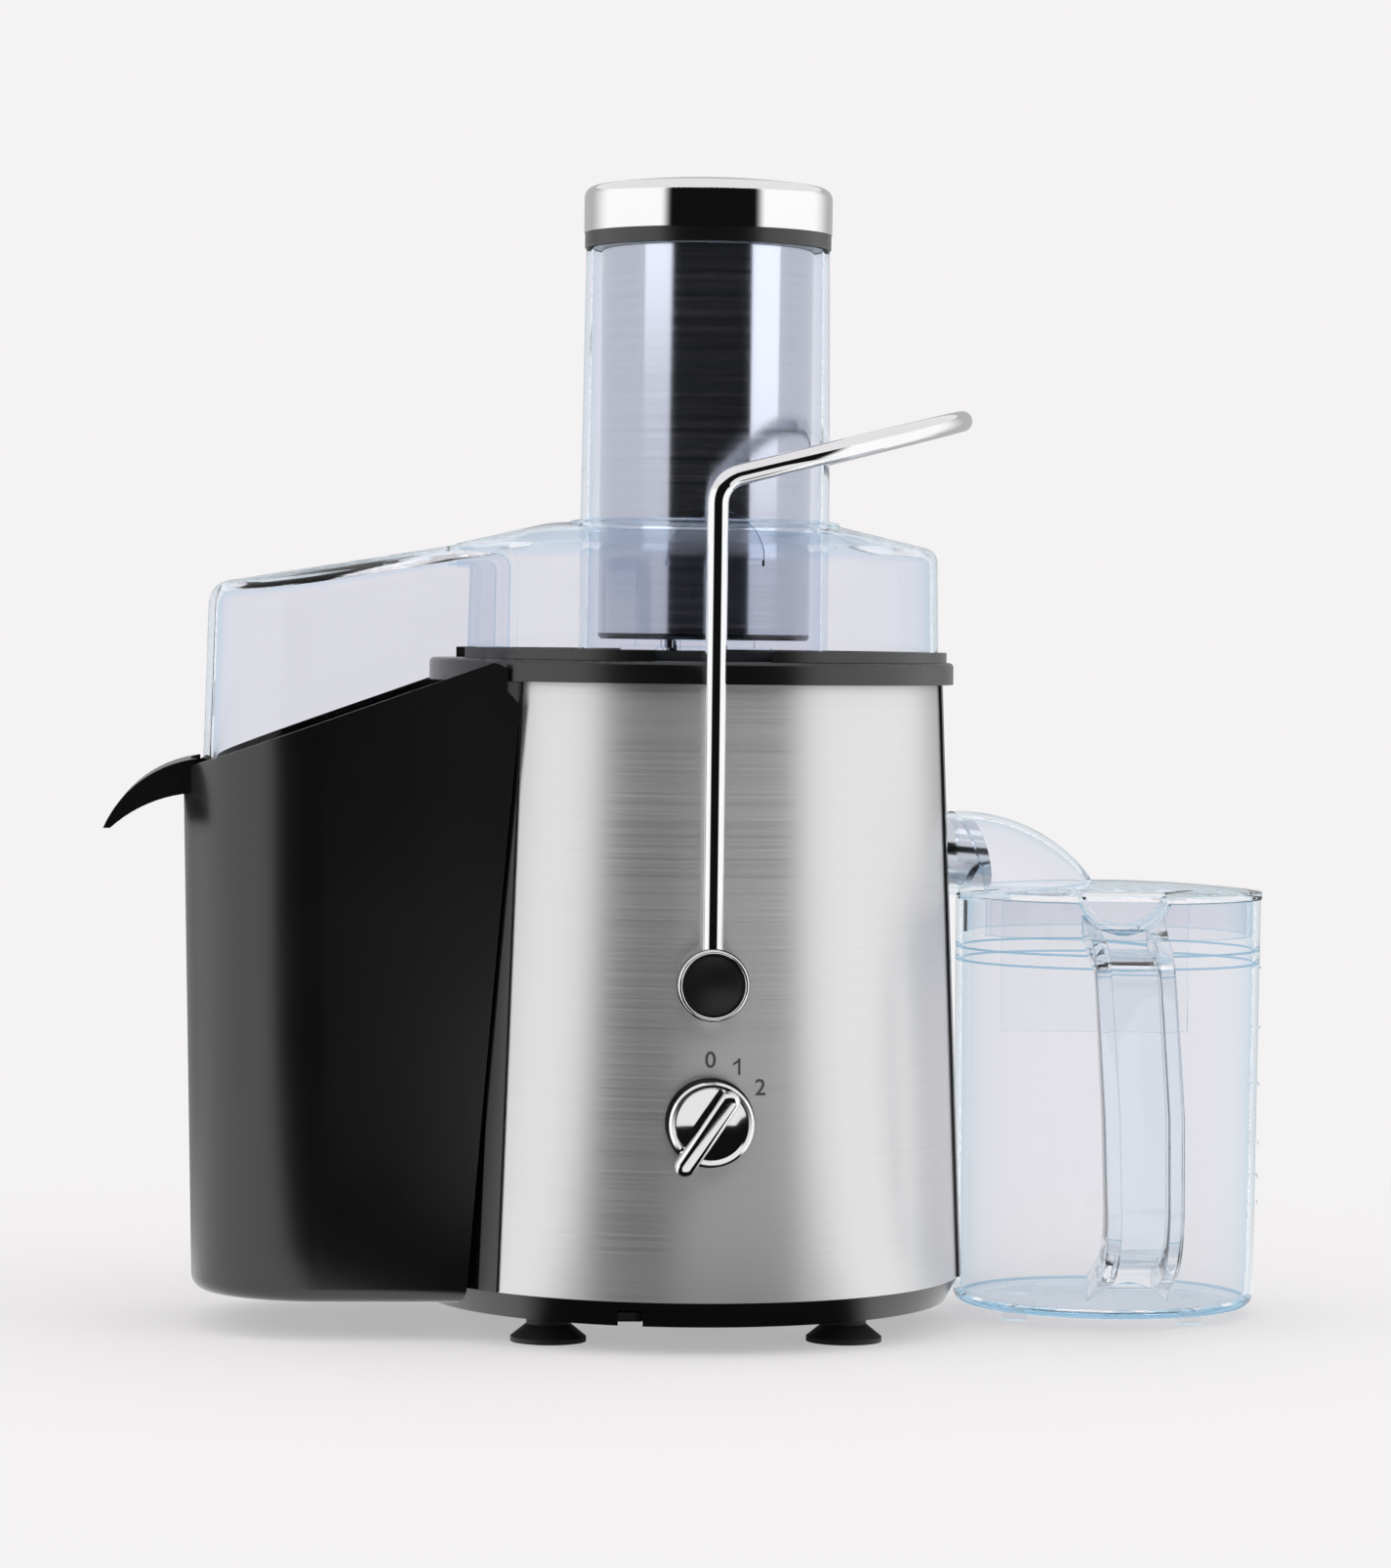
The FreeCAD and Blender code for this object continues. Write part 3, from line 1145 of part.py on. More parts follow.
# Speed knob, bezel, rotary switch, interlock switch and cord gland
worked["knob_low"] = "bezel_start + bezel_depth + run_gap"
worked["knob_face"] = "knob_low + knob_skirt"
worked["face_radius"] = "knob_radius - 2.3"
bezel = turned("knob_bezel", [("switch_bush + run_gap", "bezel_start"), ("bezel_radius", "bezel_start"),
                              ("bezel_radius", "bezel_start + bezel_depth"),
                              ("switch_bush + run_gap", "bezel_start + bezel_depth")])
keep("knob_bezel", outward(bezel, "knob_level"))
knob = turned("speed_knob", [
    ("stem_radius + fit / 3", "knob_low"), ("knob_radius - 0.4", "knob_low"),
    ("knob_radius", "knob_low + 0.8"),
    ("knob_radius", "knob_face - 0.8"), ("knob_radius - 0.8", "knob_face"),
    ("knob_radius - 1.8", "knob_face"),
    ("knob_radius - 2.3", "knob_face - 0.5", "(face_radius^2 + knob_dish^2) / (2 * knob_dish)", -1),
    ("0", "knob_face - 0.5 - knob_dish"), ("0", "knob_low + 4"),
    ("stem_radius + fit / 3", "knob_low + 4")])
grip = outline(knob, "knob_grip", "XY_Plane", [
    ("-grip_width / 2", "grip_width / 2 - grip_tail", "0.505 * grip_width", 1),
    ("grip_width / 2", "grip_width / 2 - grip_tail"),
    ("grip_width / 2", "grip_front - grip_width / 2", "0.505 * grip_width", 1),
    ("-grip_width / 2", "grip_front - grip_width / 2")], "knob_face - 0.7")
add_pad(knob, grip, "grip_rise + 0.7")
round_edges(knob, "grip_round", at_level(val("knob_face + grip_rise")))
knob.Placement.Rotation = Rotation(ALONG_X, 90).multiply(Rotation(ALONG_Z, -val("knob_turn")))
keep("speed_knob", place(knob, z="knob_level"))
stem_low = "switch_front - switch_depth / 2"
stem = cylinder("knob_stem", "stem_radius", "knob_low + 4 - (%s)" % stem_low, "0", "-(%s)" % stem_low,
                "knob_level", ALONG_X, "90")
keep("knob_stem", stem)
switch_box = box("switch_box", ("-switch_width / 2", "-switch_front", "knob_level - switch_width / 2"),
                 ("switch_width / 2", "switch_depth - switch_front", "knob_level + switch_width / 2"))
switch_neck = cylinder("switch_neck", "switch_bush", "knob_low - 0.5 - switch_front + 1", "0",
                       "1 - switch_front", "knob_level", ALONG_X, "90")
stem_room = cylinder("stem_room", "stem_radius + shaft_gap", "switch_front", "0",
                     "-(%s) + 0.5" % stem_low, "knob_level", ALONG_X, "90")
keep("speed_switch", cut("speed_switch", join("switch_solid", [switch_box, switch_neck]), [stem_room]))
keep("interlock_switch",
     box("interlock_switch", ("-10", "-pin_inner - 1", "deck_level - 13"),
         ("10", "12 - pin_inner", "deck_level")))
gland_out = taper("gland_level") + " + 0.6"
gland = turned("cord_gland", [
    ("gland_hole", gland_out + " - 8"), ("gland_radius + 2", gland_out + " - 8"),
    ("gland_radius + 2", gland_out + " - 6"),
    ("gland_radius", gland_out + " - 6"), ("gland_radius", gland_out), ("gland_radius + 1.5", gland_out),
    ("gland_radius + 1", gland_out + " + 2.5"), ("gland_hole", gland_out + " + 2.5")])
keep("cord_gland", place(gland, "0", "0", "gland_level", ALONG_X, "-90"))

# Pulp bin, hugging the round housing, with a sloping rim and a grip lip
bin_tall = "bin_rim_high - bin_base + 6"
bin_outer = padded("bin_outer", "XY_Plane",
                   end_rounded("-0.24 * bin_reach", "bin_half", "bin_reach", "bin_corner"),
                   bin_tall, both=False, draft="bin_draft", lift="bin_base")
round_edges(bin_outer, "bin_round", at_level(val("bin_base")))
bin_inner = padded("bin_inner", "XY_Plane",
                   end_rounded("-0.1 * bin_reach", "bin_half - bin_wall", "bin_reach - bin_wall",
                               "bin_corner - bin_wall"),
                   bin_tall, both=False, draft="bin_draft", lift="bin_base + bin_floor")
round_edges(bin_inner, "bin_round - bin_wall / 2", at_level(val("bin_base + bin_floor")))


def scoop(name, extra):
    gap = "bin_clear + " + extra
    return turned(name, [
        ("0", "0"), ("frame_base + skirt_top * panel_taper + " + gap, "0"),
        ("frame_top + 8 * panel_taper + " + gap, "panel_top - 8"),
        ("collar_radius + " + gap, "panel_top - 3"), ("collar_radius + " + gap, "2 * panel_top"),
        ("0", "2 * panel_top")])


bin_room = cut("bin_room", bin_inner, [scoop("bin_wall_scoop", "bin_wall")])
gate_space = box("bin_gate_space", ("-2 * bin_reach", "-bin_reach", "bin_gate"),
                 ("0", "bin_reach", "2 * panel_top"))
bin_gate = shared("bin_gate_room", [bin_inner, gate_space])
bin_shell = cut("bin_shell", bin_outer, [scoop("bin_scoop", "0"), bin_room, bin_gate])
rim_line = "bin_rim_high - (%s - bin_rim_near) * bin_rim_fall"
bin_keep = padded("bin_keep", "XZ_Plane", [
    ("0", "0"), ("0", rim_line % "bin_rim_near" + " - 9"),
    ("2 - bin_rim_near", rim_line % "bin_rim_near" + " - 9", "8", 1),
    ("-bin_rim_near - 5.5", rim_line % "bin_rim_near + 5.5"),
    ("-2 * bin_reach", rim_line % "2 * bin_reach"), ("-2 * bin_reach", "0")],
                  "6 * bin_half")
bin_cup = shared("bin_cup", [bin_shell, bin_keep])
worked["lip_start"] = rim_line % "(bin_reach - 6)"
worked["lip_tip"] = "lip_start - bin_lip_drop"
lip_pad = padded("lip_pad", "XZ_Plane", [
    ("6 - bin_reach", "lip_start", "bin_lip_drop * 1.65", 1), ("-bin_lip_reach", "lip_tip"),
    ("bin_wall - bin_lip_reach", "lip_tip", "bin_lip_drop * 1.9", -1),
    ("6 - bin_reach", "lip_start - 12")], "2 * bin_lip_half")
lip_room = padded("lip_room", "XZ_Plane", [
    ("6 - bin_reach", "lip_start - bin_wall", "bin_lip_drop * 1.55", 1),
    ("bin_wall - bin_lip_reach", "lip_tip"),
    ("bin_wall - bin_lip_reach", "lip_tip - 20"), ("6 - bin_reach", "lip_tip - 20")],
                  "2 * bin_lip_half - 2 * bin_wall")
lip = cut("bin_lip", lip_pad, [lip_room, bin_inner])
keep("pulp_bin", join("pulp_bin", [bin_cup, lip]))

# Juice jug with its channel handle
worked["jug_x"] = "jug_reach * cos(spout_turn * 1deg)"
worked["jug_y"] = "jug_reach * sin(spout_turn * 1deg)"
jug_outer = turned("jug_outer",
                   [("0", "jug_lift"), ("jug_radius - 1", "jug_lift"), ("jug_radius", "jug_rim"),
                    ("0", "jug_rim")])
round_edges(jug_outer, "jug_round", at_level(val("jug_lift")))
nub = circles(jug_outer, "jug_nub", "XY_Plane",
              [("nub_ring * cos(35deg)", "nub_ring * sin(35deg)", "nub_radius")])
polar(jug_outer, add_pad(jug_outer, nub, "jug_lift + 1"), "4")
jug_room = turned("jug_room",
                  [("0", "jug_lift + jug_floor"), ("jug_radius - 1 - jug_wall", "jug_lift + jug_floor"),
                   ("jug_radius - jug_wall", "jug_rim"),
                   ("jug_radius - jug_wall", "jug_rim + 1"), ("0", "jug_rim + 1")])
round_edges(jug_room, "jug_round - jug_wall / 2", at_level(val("jug_lift + jug_floor")))
worked["grip_top"] = "handle_top + 0.85 * handle_deep"


def grip_side(inset, wall):
    low = "handle_foot + (%s)" % inset
    far = "handle_reach - (%s)" % inset
    return [("-(%s)" % wall, "grip_top - (%s)" % inset),
            ("handle_bend - handle_reach", "grip_top - (%s)" % inset, "handle_bend - (%s)" % inset, 1),
            ("-(%s)" % far, "grip_top - handle_bend"),
            ("2 - (%s)" % far, "handle_foot + 2 * handle_bend", "2 * handle_bend - (%s)" % inset, 1),
            ("2 * handle_bend + 2 - handle_reach", low), ("-(%s)" % wall, low)]


inner_side = grip_side("handle_deep", "0.92 * jug_radius")[::-1]


def retrace(side):
    back = []
    for i, corner in enumerate(side):
        arc = side[i + 1][2:] if i + 1 < len(side) and len(side[i + 1]) > 2 else ()
        back.append(corner[:2] + ((arc[0], -arc[1]) if arc else ()))
    return back


handle = padded("handle_strip", "YZ_Plane", grip_side("0", "0.92 * jug_radius") + retrace(inner_side),
                "2 * handle_half")
channel_side = grip_side("handle_deep - handle_web", "jug_radius + 0.6")[::-1]
channel = padded("handle_channel", "YZ_Plane", [
    ("-jug_radius - 0.6", "grip_top + 9"), ("-1.2 * handle_reach", "grip_top + 9"),
    ("-1.2 * handle_reach", "handle_foot - 9"),
    ("-jug_radius - 0.6", "handle_foot - 9")] + retrace(channel_side),
                 "2 * handle_half - 2 * handle_flange")
strip = cut("handle", handle, [channel])
worked["lid_top"] = "jug_rim + lid_edge"


def scoop(name, radius, start, end):
    return cylinder(name, radius, "(%s) - (%s)" % (end, start), "0", "-(%s)" % start, "lid_top + scoop_rise",
                    ALONG_X, "90")


rim_scoop = group("rim_scoop", [scoop("rim_scoop_tool", "scoop_radius + scoop_wall + run_gap", "scoop_inner",
                                      "jug_radius + scoop_radius")])
for thing in (jug_outer, jug_room):
    place(thing, "jug_x", "jug_y")
for thing in (strip, rim_scoop):
    place(thing, "jug_x", "jug_y", "0", ALONG_Z, "-handle_turn")
keep("juice_jug", cut("juice_jug", join("jug_solid", [jug_outer, strip]), [jug_room, rim_scoop]))

# Jug lid with a cowl over the spout, and the froth separator under it
worked["lid_radius"] = "jug_radius + 0.4"
plate = turned("jug_lid_plate", [
    ("0", "jug_rim"), ("lid_radius", "jug_rim"),
    ("lid_radius", "lid_top", "(lid_radius^2 + lid_crown^2) / (2 * lid_crown)", 1),
    ("0", "lid_top + lid_crown")])
plug = turned("jug_lid_plug",
              [("plug_radius - plug_wall", "jug_rim - plug_depth"),
               ("plug_radius", "jug_rim - plug_depth"),
               ("plug_radius", "jug_rim + 0.2"),
               ("plug_radius - plug_wall", "jug_rim + 0.2")])


def cowl(name, radius, start, end, floor):
    made = new_body(name)
    sketch = outline(made, name + "_profile", "XZ_Plane", [
        (start, "0"), (end, "0", "2.25 * cowl_radius", 1), ("cowl_start", radius), (start, radius)])
    turn = made.newObject("PartDesign::Revolution", name + "_turn")
    turn.Profile = sketch
    turn.ReferenceAxis = (sketch, ["H_Axis"])
    turn.Angle = 360
    place(made, z="lid_top")
    above = box(name + "_above", ("-2 * jug_radius", "-jug_radius", floor),
                ("jug_radius", "jug_radius", "jug_rim + jug_radius"))
    return shared(name + "_half", [made, above])


cowl_outer = cowl("cowl_outer", "cowl_radius", "cowl_start - 1", "cowl_end", "jug_rim")
cowl_room = cowl("cowl_room", "cowl_radius - cowl_wall", "cowl_start - 5", "cowl_end - cowl_wall",
                 "lid_top")
mouth = padded("cowl_mouth", "XZ_Plane", [
    ("cowl_start + cowl_slant", "lid_top"), ("cowl_start", "lid_top + 1.05 * cowl_radius"),
    ("2 * cowl_start", "lid_top + 1.05 * cowl_radius"), ("2 * cowl_start", "lid_top")], "2 * jug_radius")
spout_notch = box("spout_notch", ("2 * cowl_start", "-notch_half", "jug_rim - plug_depth - 1"),
                  ("notch_end", "notch_half", "lid_top + 4"))
scoop_below = box("scoop_below", ("-jug_radius", "-2 * jug_radius", "jug_rim - plug_depth"),
                  ("jug_radius", "0", "lid_top"))
scoop_dish = shared("scoop_dish", [scoop("scoop_solid", "scoop_radius + scoop_wall", "scoop_inner",
                                         "lid_radius - fit"), scoop_below])
scoop_room = group("scoop_room", [scoop("scoop_room_tool", "scoop_radius", "scoop_inner + scoop_wall",
                                        "jug_radius + scoop_radius")])
for thing in (scoop_dish, scoop_room):
    place(thing, "0", "0", "0", ALONG_Z, "-handle_turn - spout_turn")
jug_lid = cut("jug_lid_local", join("jug_lid_solid", [plate, plug, cowl_outer, scoop_dish]),
              [cowl_room, mouth, spout_notch, scoop_room])
turned_lid = doc.addObject("Part::Compound", "jug_lid_turned")
turned_lid.Links = [jug_lid]
place(turned_lid, "jug_x", "jug_y", "0", ALONG_Z, "spout_turn")
keep("jug_lid", turned_lid)
froth = padded("froth_separator", "XZ_Plane", [
    ("-froth_half", "jug_rim - froth_drop"), ("froth_half", "jug_rim - froth_drop"),
    ("froth_half", "jug_rim"), ("-froth_half", "jug_rim")],
               "froth_gauge", both=False)
keep("froth_separator", place(froth, "jug_x", "jug_y + froth_along + froth_gauge"))

# Export
doc.recompute()
for thing in doc.Objects:
    bad = [s for s in thing.State if s in ("Invalid", "Error")]
    if bad:
        raise RuntimeError("%s is %s" % (thing.Name, bad))
os.makedirs("parts", exist_ok=True)
for name, thing in pieces.items():
    if thing.Shape.isNull() or not thing.Shape.isValid() or not thing.Shape.Solids:
        raise RuntimeError(name + " has no sound solid")
    thing.Shape.exportStep("parts/%s.step" % name)
    print(name, len(thing.Shape.Solids), "solid(s)", round(thing.Shape.Volume / 1000, 2), "cm3")
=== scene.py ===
import bpy
import bmesh
import json
import math
from mathutils import Matrix, Vector


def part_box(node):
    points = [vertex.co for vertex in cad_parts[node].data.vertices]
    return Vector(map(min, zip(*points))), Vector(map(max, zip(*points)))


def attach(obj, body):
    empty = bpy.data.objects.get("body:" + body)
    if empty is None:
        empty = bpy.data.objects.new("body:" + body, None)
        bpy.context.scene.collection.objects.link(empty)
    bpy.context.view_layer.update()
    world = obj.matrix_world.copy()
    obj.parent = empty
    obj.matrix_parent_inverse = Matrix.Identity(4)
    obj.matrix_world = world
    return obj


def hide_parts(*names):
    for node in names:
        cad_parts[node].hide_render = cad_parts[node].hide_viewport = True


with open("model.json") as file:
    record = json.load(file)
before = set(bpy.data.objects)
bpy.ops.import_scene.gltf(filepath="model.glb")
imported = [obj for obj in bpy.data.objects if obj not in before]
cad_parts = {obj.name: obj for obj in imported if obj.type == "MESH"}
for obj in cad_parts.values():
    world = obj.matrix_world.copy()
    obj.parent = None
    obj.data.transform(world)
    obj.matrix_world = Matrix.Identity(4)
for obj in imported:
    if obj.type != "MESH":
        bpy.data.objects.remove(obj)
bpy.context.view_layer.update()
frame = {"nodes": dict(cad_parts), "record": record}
scene = bpy.context.scene
scene.view_settings.view_transform = "Standard"
slotOf = {s["node"]: s["material_slot"] for s in frame["record"]["subparts"]}
bodyOf = {n: b for b, names in frame["record"]["behaviour"]["bodies"].items() for n in names}
print("frame loaded,", len(frame["nodes"]), "nodes")


def linked(name, data):
    thing = bpy.data.objects.new(name, data)
    scene.collection.objects.link(thing)
    return thing


def meshFrom(name, bm):
    mesh = bpy.data.meshes.new(name)
    bm.to_mesh(mesh)
    bm.free()
    return mesh


# each item once, in an order that is the same in every run
def once(items):
    return list(dict.fromkeys(items))


# camera, read off the photograph
view = {"turn": 4.8, "away": 1.8, "eye": 0.2395, "lens": 119.5, "dip": 1.7, "aside": 0.06, "roll": 0.7,
        "sensor": 36, "clip": (0.05, 60)}


def aimCamera():
    cam = bpy.data.cameras.new("photoCamera")
    cam.sensor_fit = "VERTICAL"
    cam.sensor_height = view["sensor"]
    cam.lens = view["lens"]
    cam.clip_start, cam.clip_end = view["clip"]
    turn, roll = math.radians(view["turn"]), math.radians(view["roll"])
    spot = Vector((-math.sin(turn) * view["away"], -math.cos(turn) * view["away"], view["eye"]))
    aim, dip = turn + math.radians(view["aside"]), math.radians(view["dip"])
    ahead = Vector((math.sin(aim) * math.cos(dip), math.cos(aim) * math.cos(dip), -math.sin(dip)))
    right = ahead.cross(Vector((0, 0, 1))).normalized()
    up = right.cross(ahead)
    side = right * math.cos(roll) + up * math.sin(roll)
    top = up * math.cos(roll) - right * math.sin(roll)
    turned = Matrix((side, top, -ahead)).transposed()
    scene.camera = linked("photoCamera", cam)
    scene.camera.matrix_world = Matrix.Translation(spot) @ turned.to_4x4()


aimCamera()
print("camera aimed")


def joinUp(tree, start, startSocket, end, endSocket):
    tree.links.new(start.outputs[startSocket], end.inputs[endSocket])


def setSockets(node, values):
    for key, value in values.items():
        node.inputs[key].default_value = value


def addNode(tree, kind, **values):
    node = tree.nodes.new(kind)
    for key, value in values.items():
        if key in node.inputs:
            node.inputs[key].default_value = value
        else:
            setattr(node, key, value)
    return node


def bareMaterial(name):
    mat = bpy.data.materials.new(name)
    mat.use_nodes = True
    mat.node_tree.nodes.clear()
    return mat, mat.node_tree, addNode(mat.node_tree, "ShaderNodeOutputMaterial")


# studio: a pale room and soft lamps; each lamp has its spot and width
studio = {"pale": (0.905, 0.888, 0.896, 1), "tint": (1, 0.99, 0.98, 1), "room": 0.82, "lamp": 4.0,
          "aim": (0, 0, 0.18),
          "lamps": {"lampLeft": ((-1.5, -0.9, 1.0), 1.2), "lampRight": ((1.5, -0.8, 0.9), 1.2),
                    "lampTop": ((0.1, -0.2, 1.9), 1.5)}}


def seenDirectly(tree):
    path = addNode(tree, "ShaderNodeLightPath")
    first = addNode(tree, "ShaderNodeMath", operation="ADD")
    second = addNode(tree, "ShaderNodeMath", operation="ADD", use_clamp=True)
    joinUp(tree, path, "Is Camera Ray", first, 0)
    joinUp(tree, path, "Is Glossy Ray", first, 1)
    joinUp(tree, first, 0, second, 0)
    joinUp(tree, path, "Is Transmission Ray", second, 1)
    return second


def lightRoom():
    world = bpy.data.worlds.new("paleRoom")
    scene.world = world
    world.use_nodes = True
    tree = world.node_tree
    tree.nodes.clear()
    out = addNode(tree, "ShaderNodeOutputWorld")
    mix = addNode(tree, "ShaderNodeMixShader")
    light = addNode(tree, "ShaderNodeBackground", Color=studio["tint"], Strength=studio["room"])
    shown = addNode(tree, "ShaderNodeBackground", Color=studio["pale"], Strength=1.0)
    joinUp(tree, seenDirectly(tree), 0, mix, 0)
    joinUp(tree, light, 0, mix, 1)
    joinUp(tree, shown, 0, mix, 2)
    joinUp(tree, mix, 0, out, "Surface")
    for name, (spot, wide) in studio["lamps"].items():
        lamp = bpy.data.lights.new(name, "AREA")
        lamp.size = wide
        lamp.energy = studio["lamp"]
        holder = linked(name, lamp)
        holder.location = spot
        holder.rotation_euler = (Vector(studio["aim"]) - Vector(spot)).to_track_quat("-Z", "Y").to_euler()
        holder.visible_camera = False
        holder.visible_glossy = False


# the near floor takes the shadow and fades into the far one; polished faces mirror the white card instead
ground = {"near": 0.75, "far": 20.0, "farLevel": -0.001, "sides": 96, "cloth": (0.94, 0.925, 0.93, 1),
          "shadowLift": 0.45, "fadeFrom": 0.22, "fadeTo": 0.62}


def disc(radius, level, sides):
    bm = bmesh.new()
    bmesh.ops.create_circle(bm, cap_ends=True, segments=sides, radius=radius)
    bmesh.ops.translate(bm, verts=bm.verts[:], vec=(0, 0, level))
    return bm


def layFloor(name, radius, level):
    mesh = meshFrom(name, disc(radius, level, ground["sides"]))
    floor = linked(name, mesh)
    mat, tree, out = bareMaterial(name + "Pale")
    mesh.materials.append(mat)
    floor.visible_glossy = False
    return floor, tree, out, addNode(tree, "ShaderNodeEmission", Color=studio["pale"], Strength=1.0)


def addFloor():
    tree, out, pale = layFloor("floor", ground["near"], 0)[1:]
    mix = addNode(tree, "ShaderNodeMixShader")
    lit = addNode(tree, "ShaderNodeBsdfDiffuse", Color=ground["cloth"])
    shade = addNode(tree, "ShaderNodeMixShader", Fac=ground["shadowLift"])
    coords = addNode(tree, "ShaderNodeTexCoord")
    length = addNode(tree, "ShaderNodeVectorMath", operation="LENGTH")
    fade = addNode(tree, "ShaderNodeMapRange", interpolation_type="SMOOTHSTEP")
    setSockets(fade, {"From Min": ground["fadeFrom"], "From Max": ground["fadeTo"]})
    joinUp(tree, coords, "Object", length, 0)
    joinUp(tree, length, "Value", fade, "Value")
    joinUp(tree, fade, 0, mix, 0)
    joinUp(tree, lit, 0, shade, 1)
    joinUp(tree, pale, 0, shade, 2)
    joinUp(tree, shade, 0, mix, 1)
    joinUp(tree, pale, 0, mix, 2)
    joinUp(tree, mix, 0, out, "Surface")
    far, tree, out, pale = layFloor("floorFar", ground["far"], ground["farLevel"])
    joinUp(tree, pale, 0, out, "Surface")
    far.visible_diffuse = False


# softboxes all round with a dark gap behind the camera, a dark strip that shows through clear walls,
# a shade below the floor and a white card in front of the part; gap, soft and ends are shares of a turn
tent = {"radius": 2.6, "steps": 96, "weld": 1e-5, "wall": (-1.5, 1.5), "strip": (-0.2, 1.0), "aside": 4.5,
        "gap": 0.1225, "soft": 0.016, "ends": (0.10, 0.20), "dark": 0.006, "bright": 1.14, "back": 0.5,
        "shadeLevel": -0.002, "shadeSides": 64,
        "card": (-0.05, 0.40, -0.95, -0.22), "cardLevel": -0.0005, "white": 0.92}


def glowing(name, strength):
    mat, tree, out = bareMaterial(name)
    glow = addNode(tree, "ShaderNodeEmission", Strength=strength)
    joinUp(tree, glow, 0, out, "Surface")
    return mat, tree, glow


def onlySeenBy(rays, name, bm, mat):
    mesh = meshFrom(name, bm)
    mesh.materials.append(mat)
    thing = linked(name, mesh)
    thing.visible_camera = thing.visible_diffuse = thing.visible_shadow = False
    thing.visible_glossy = rays == "glossy"
    thing.visible_transmission = rays == "transmission"


def tentWall(levels, start, span):
    bm = bmesh.new()
    across, along = math.cos(start) * tent["radius"], math.sin(start) * tent["radius"]
    ends = [bm.verts.new((across, along, level)) for level in levels]
    edge = bm.edges.new(ends)
    bmesh.ops.spin(bm, geom=[*ends, edge], cent=(0, 0, 0), axis=(0, 0, 1), angle=span, steps=tent["steps"])
    bmesh.ops.remove_doubles(bm, verts=bm.verts[:], dist=tent["weld"])
    return bm


def tentCloth(ahead):
    mat, tree, glow = glowing("tentCloth", 1.0)
    coords = addNode(tree, "ShaderNodeTexCoord")
    turn = addNode(tree, "ShaderNodeMapping", Rotation=(0, 0, -ahead))
    radial = addNode(tree, "ShaderNodeTexGradient", gradient_type="RADIAL")
    ramp = addNode(tree, "ShaderNodeValToRGB")
    joinUp(tree, coords, "Object", turn, "Vector")
    joinUp(tree, turn, "Vector", radial, "Vector")
    joinUp(tree, radial, "Fac", ramp, "Fac")
    joinUp(tree, ramp, "Color", glow, "Color")
    back, bright, dark = ((tent[key],) * 3 for key in ("back", "bright", "dark"))
    dim, full = tent["ends"]
    left, right, soft = 0.5 - tent["gap"], 0.5 + tent["gap"], tent["soft"]
    stops = [(0.0, back), (dim, back), (full, bright), (left - soft, bright), (left + soft, dark),
             (right - soft, dark), (right + soft, bright), (1 - full, bright), (1 - dim, back)]
    ramp.color_ramp.interpolation = "EASE"
    while len(ramp.color_ramp.elements) < len(stops):
        ramp.color_ramp.elements.new(0.5)
    for element, (place, colour) in zip(ramp.color_ramp.elements, stops):
        element.position = place
        element.color = (*colour, 1)
    return mat


def floorCard():
    left, right, front, near = tent["card"]
    bm = bmesh.new()
    bmesh.ops.create_grid(bm, x_segments=1, y_segments=1, size=0.5)
    bmesh.ops.scale(bm, verts=bm.verts[:], vec=(right - left, near - front, 1))
    bmesh.ops.translate(bm, verts=bm.verts[:], vec=((left + right) / 2, (front + near) / 2, tent["cardLevel"]))
    return bm


def raiseTent():
    ahead = math.radians(-90 - view["turn"] + tent["aside"])
    half = tent["gap"] * math.tau
    cloth = tentCloth(ahead)
    onlySeenBy("glossy", "lightTent", tentWall(tent["wall"], 0, math.tau), cloth)
    onlySeenBy("transmission", "gapStrip", tentWall(tent["strip"], ahead - half, 2 * half),
               glowing("gapDark", tent["dark"])[0])
    onlySeenBy("glossy", "groundShade", disc(ground["near"], tent["shadeLevel"], tent["shadeSides"]), cloth)
    onlySeenBy("glossy", "floorCard", floorCard(), glowing("cardWhite", tent["white"])[0])


lightRoom()
addFloor()
raiseTent()
print("studio ready")

# shared surface effects; a noise mostly lies inside its span, and a mix node's colours go by place
noiseSpan = {"From Min": 0.3, "From Max": 0.7}
mixPlace = {"share": 0, "first": 6, "second": 7, "result": 2}


def newGroup(name, inputs, outputs):
    group = bpy.data.node_groups.new(name, "ShaderNodeTree")
    for label, value in inputs.items():
        socket = group.interface.new_socket(name=label, in_out="INPUT", socket_type="NodeSocketFloat")
        socket.default_value = value
    for label in outputs:
        group.interface.new_socket(name=label, in_out="OUTPUT", socket_type="NodeSocketFloat")
    return group, group.nodes.new("NodeGroupInput"), group.nodes.new("NodeGroupOutput")


def spreadRoughness(group, given, noise, made):
    spread = addNode(group, "ShaderNodeMapRange")
    setSockets(spread, noiseSpan)
    joinUp(group, noise, "Fac", spread, "Value")
    joinUp(group, given, "Low", spread, "To Min")
    joinUp(group, given, "High", spread, "To Max")
    joinUp(group, spread, "Result", made, "Roughness")


def brushGroup():
    group, given, made = newGroup("brushLines", {"Across": 4.0, "Fine": 2200.0, "Low": 0.2, "High": 0.4},
                                  ["Lines", "Roughness"])
    coords = addNode(group, "ShaderNodeTexCoord")
    scale = addNode(group, "ShaderNodeCombineXYZ")
    for axis in ("X", "Y"):
        joinUp(group, given, "Across", scale, axis)
    joinUp(group, given, "Fine", scale, "Z")
    stretch = addNode(group, "ShaderNodeVectorMath", operation="MULTIPLY")
    joinUp(group, coords, "Object", stretch, 0)
    joinUp(group, scale, 0, stretch, 1)
    noise = addNode(group, "ShaderNodeTexNoise", Scale=1.0, Detail=4.0, Roughness=0.65)
    joinUp(group, stretch, 0, noise, "Vector")
    joinUp(group, noise, "Fac", made, "Lines")
    spreadRoughness(group, given, noise, made)
    return group


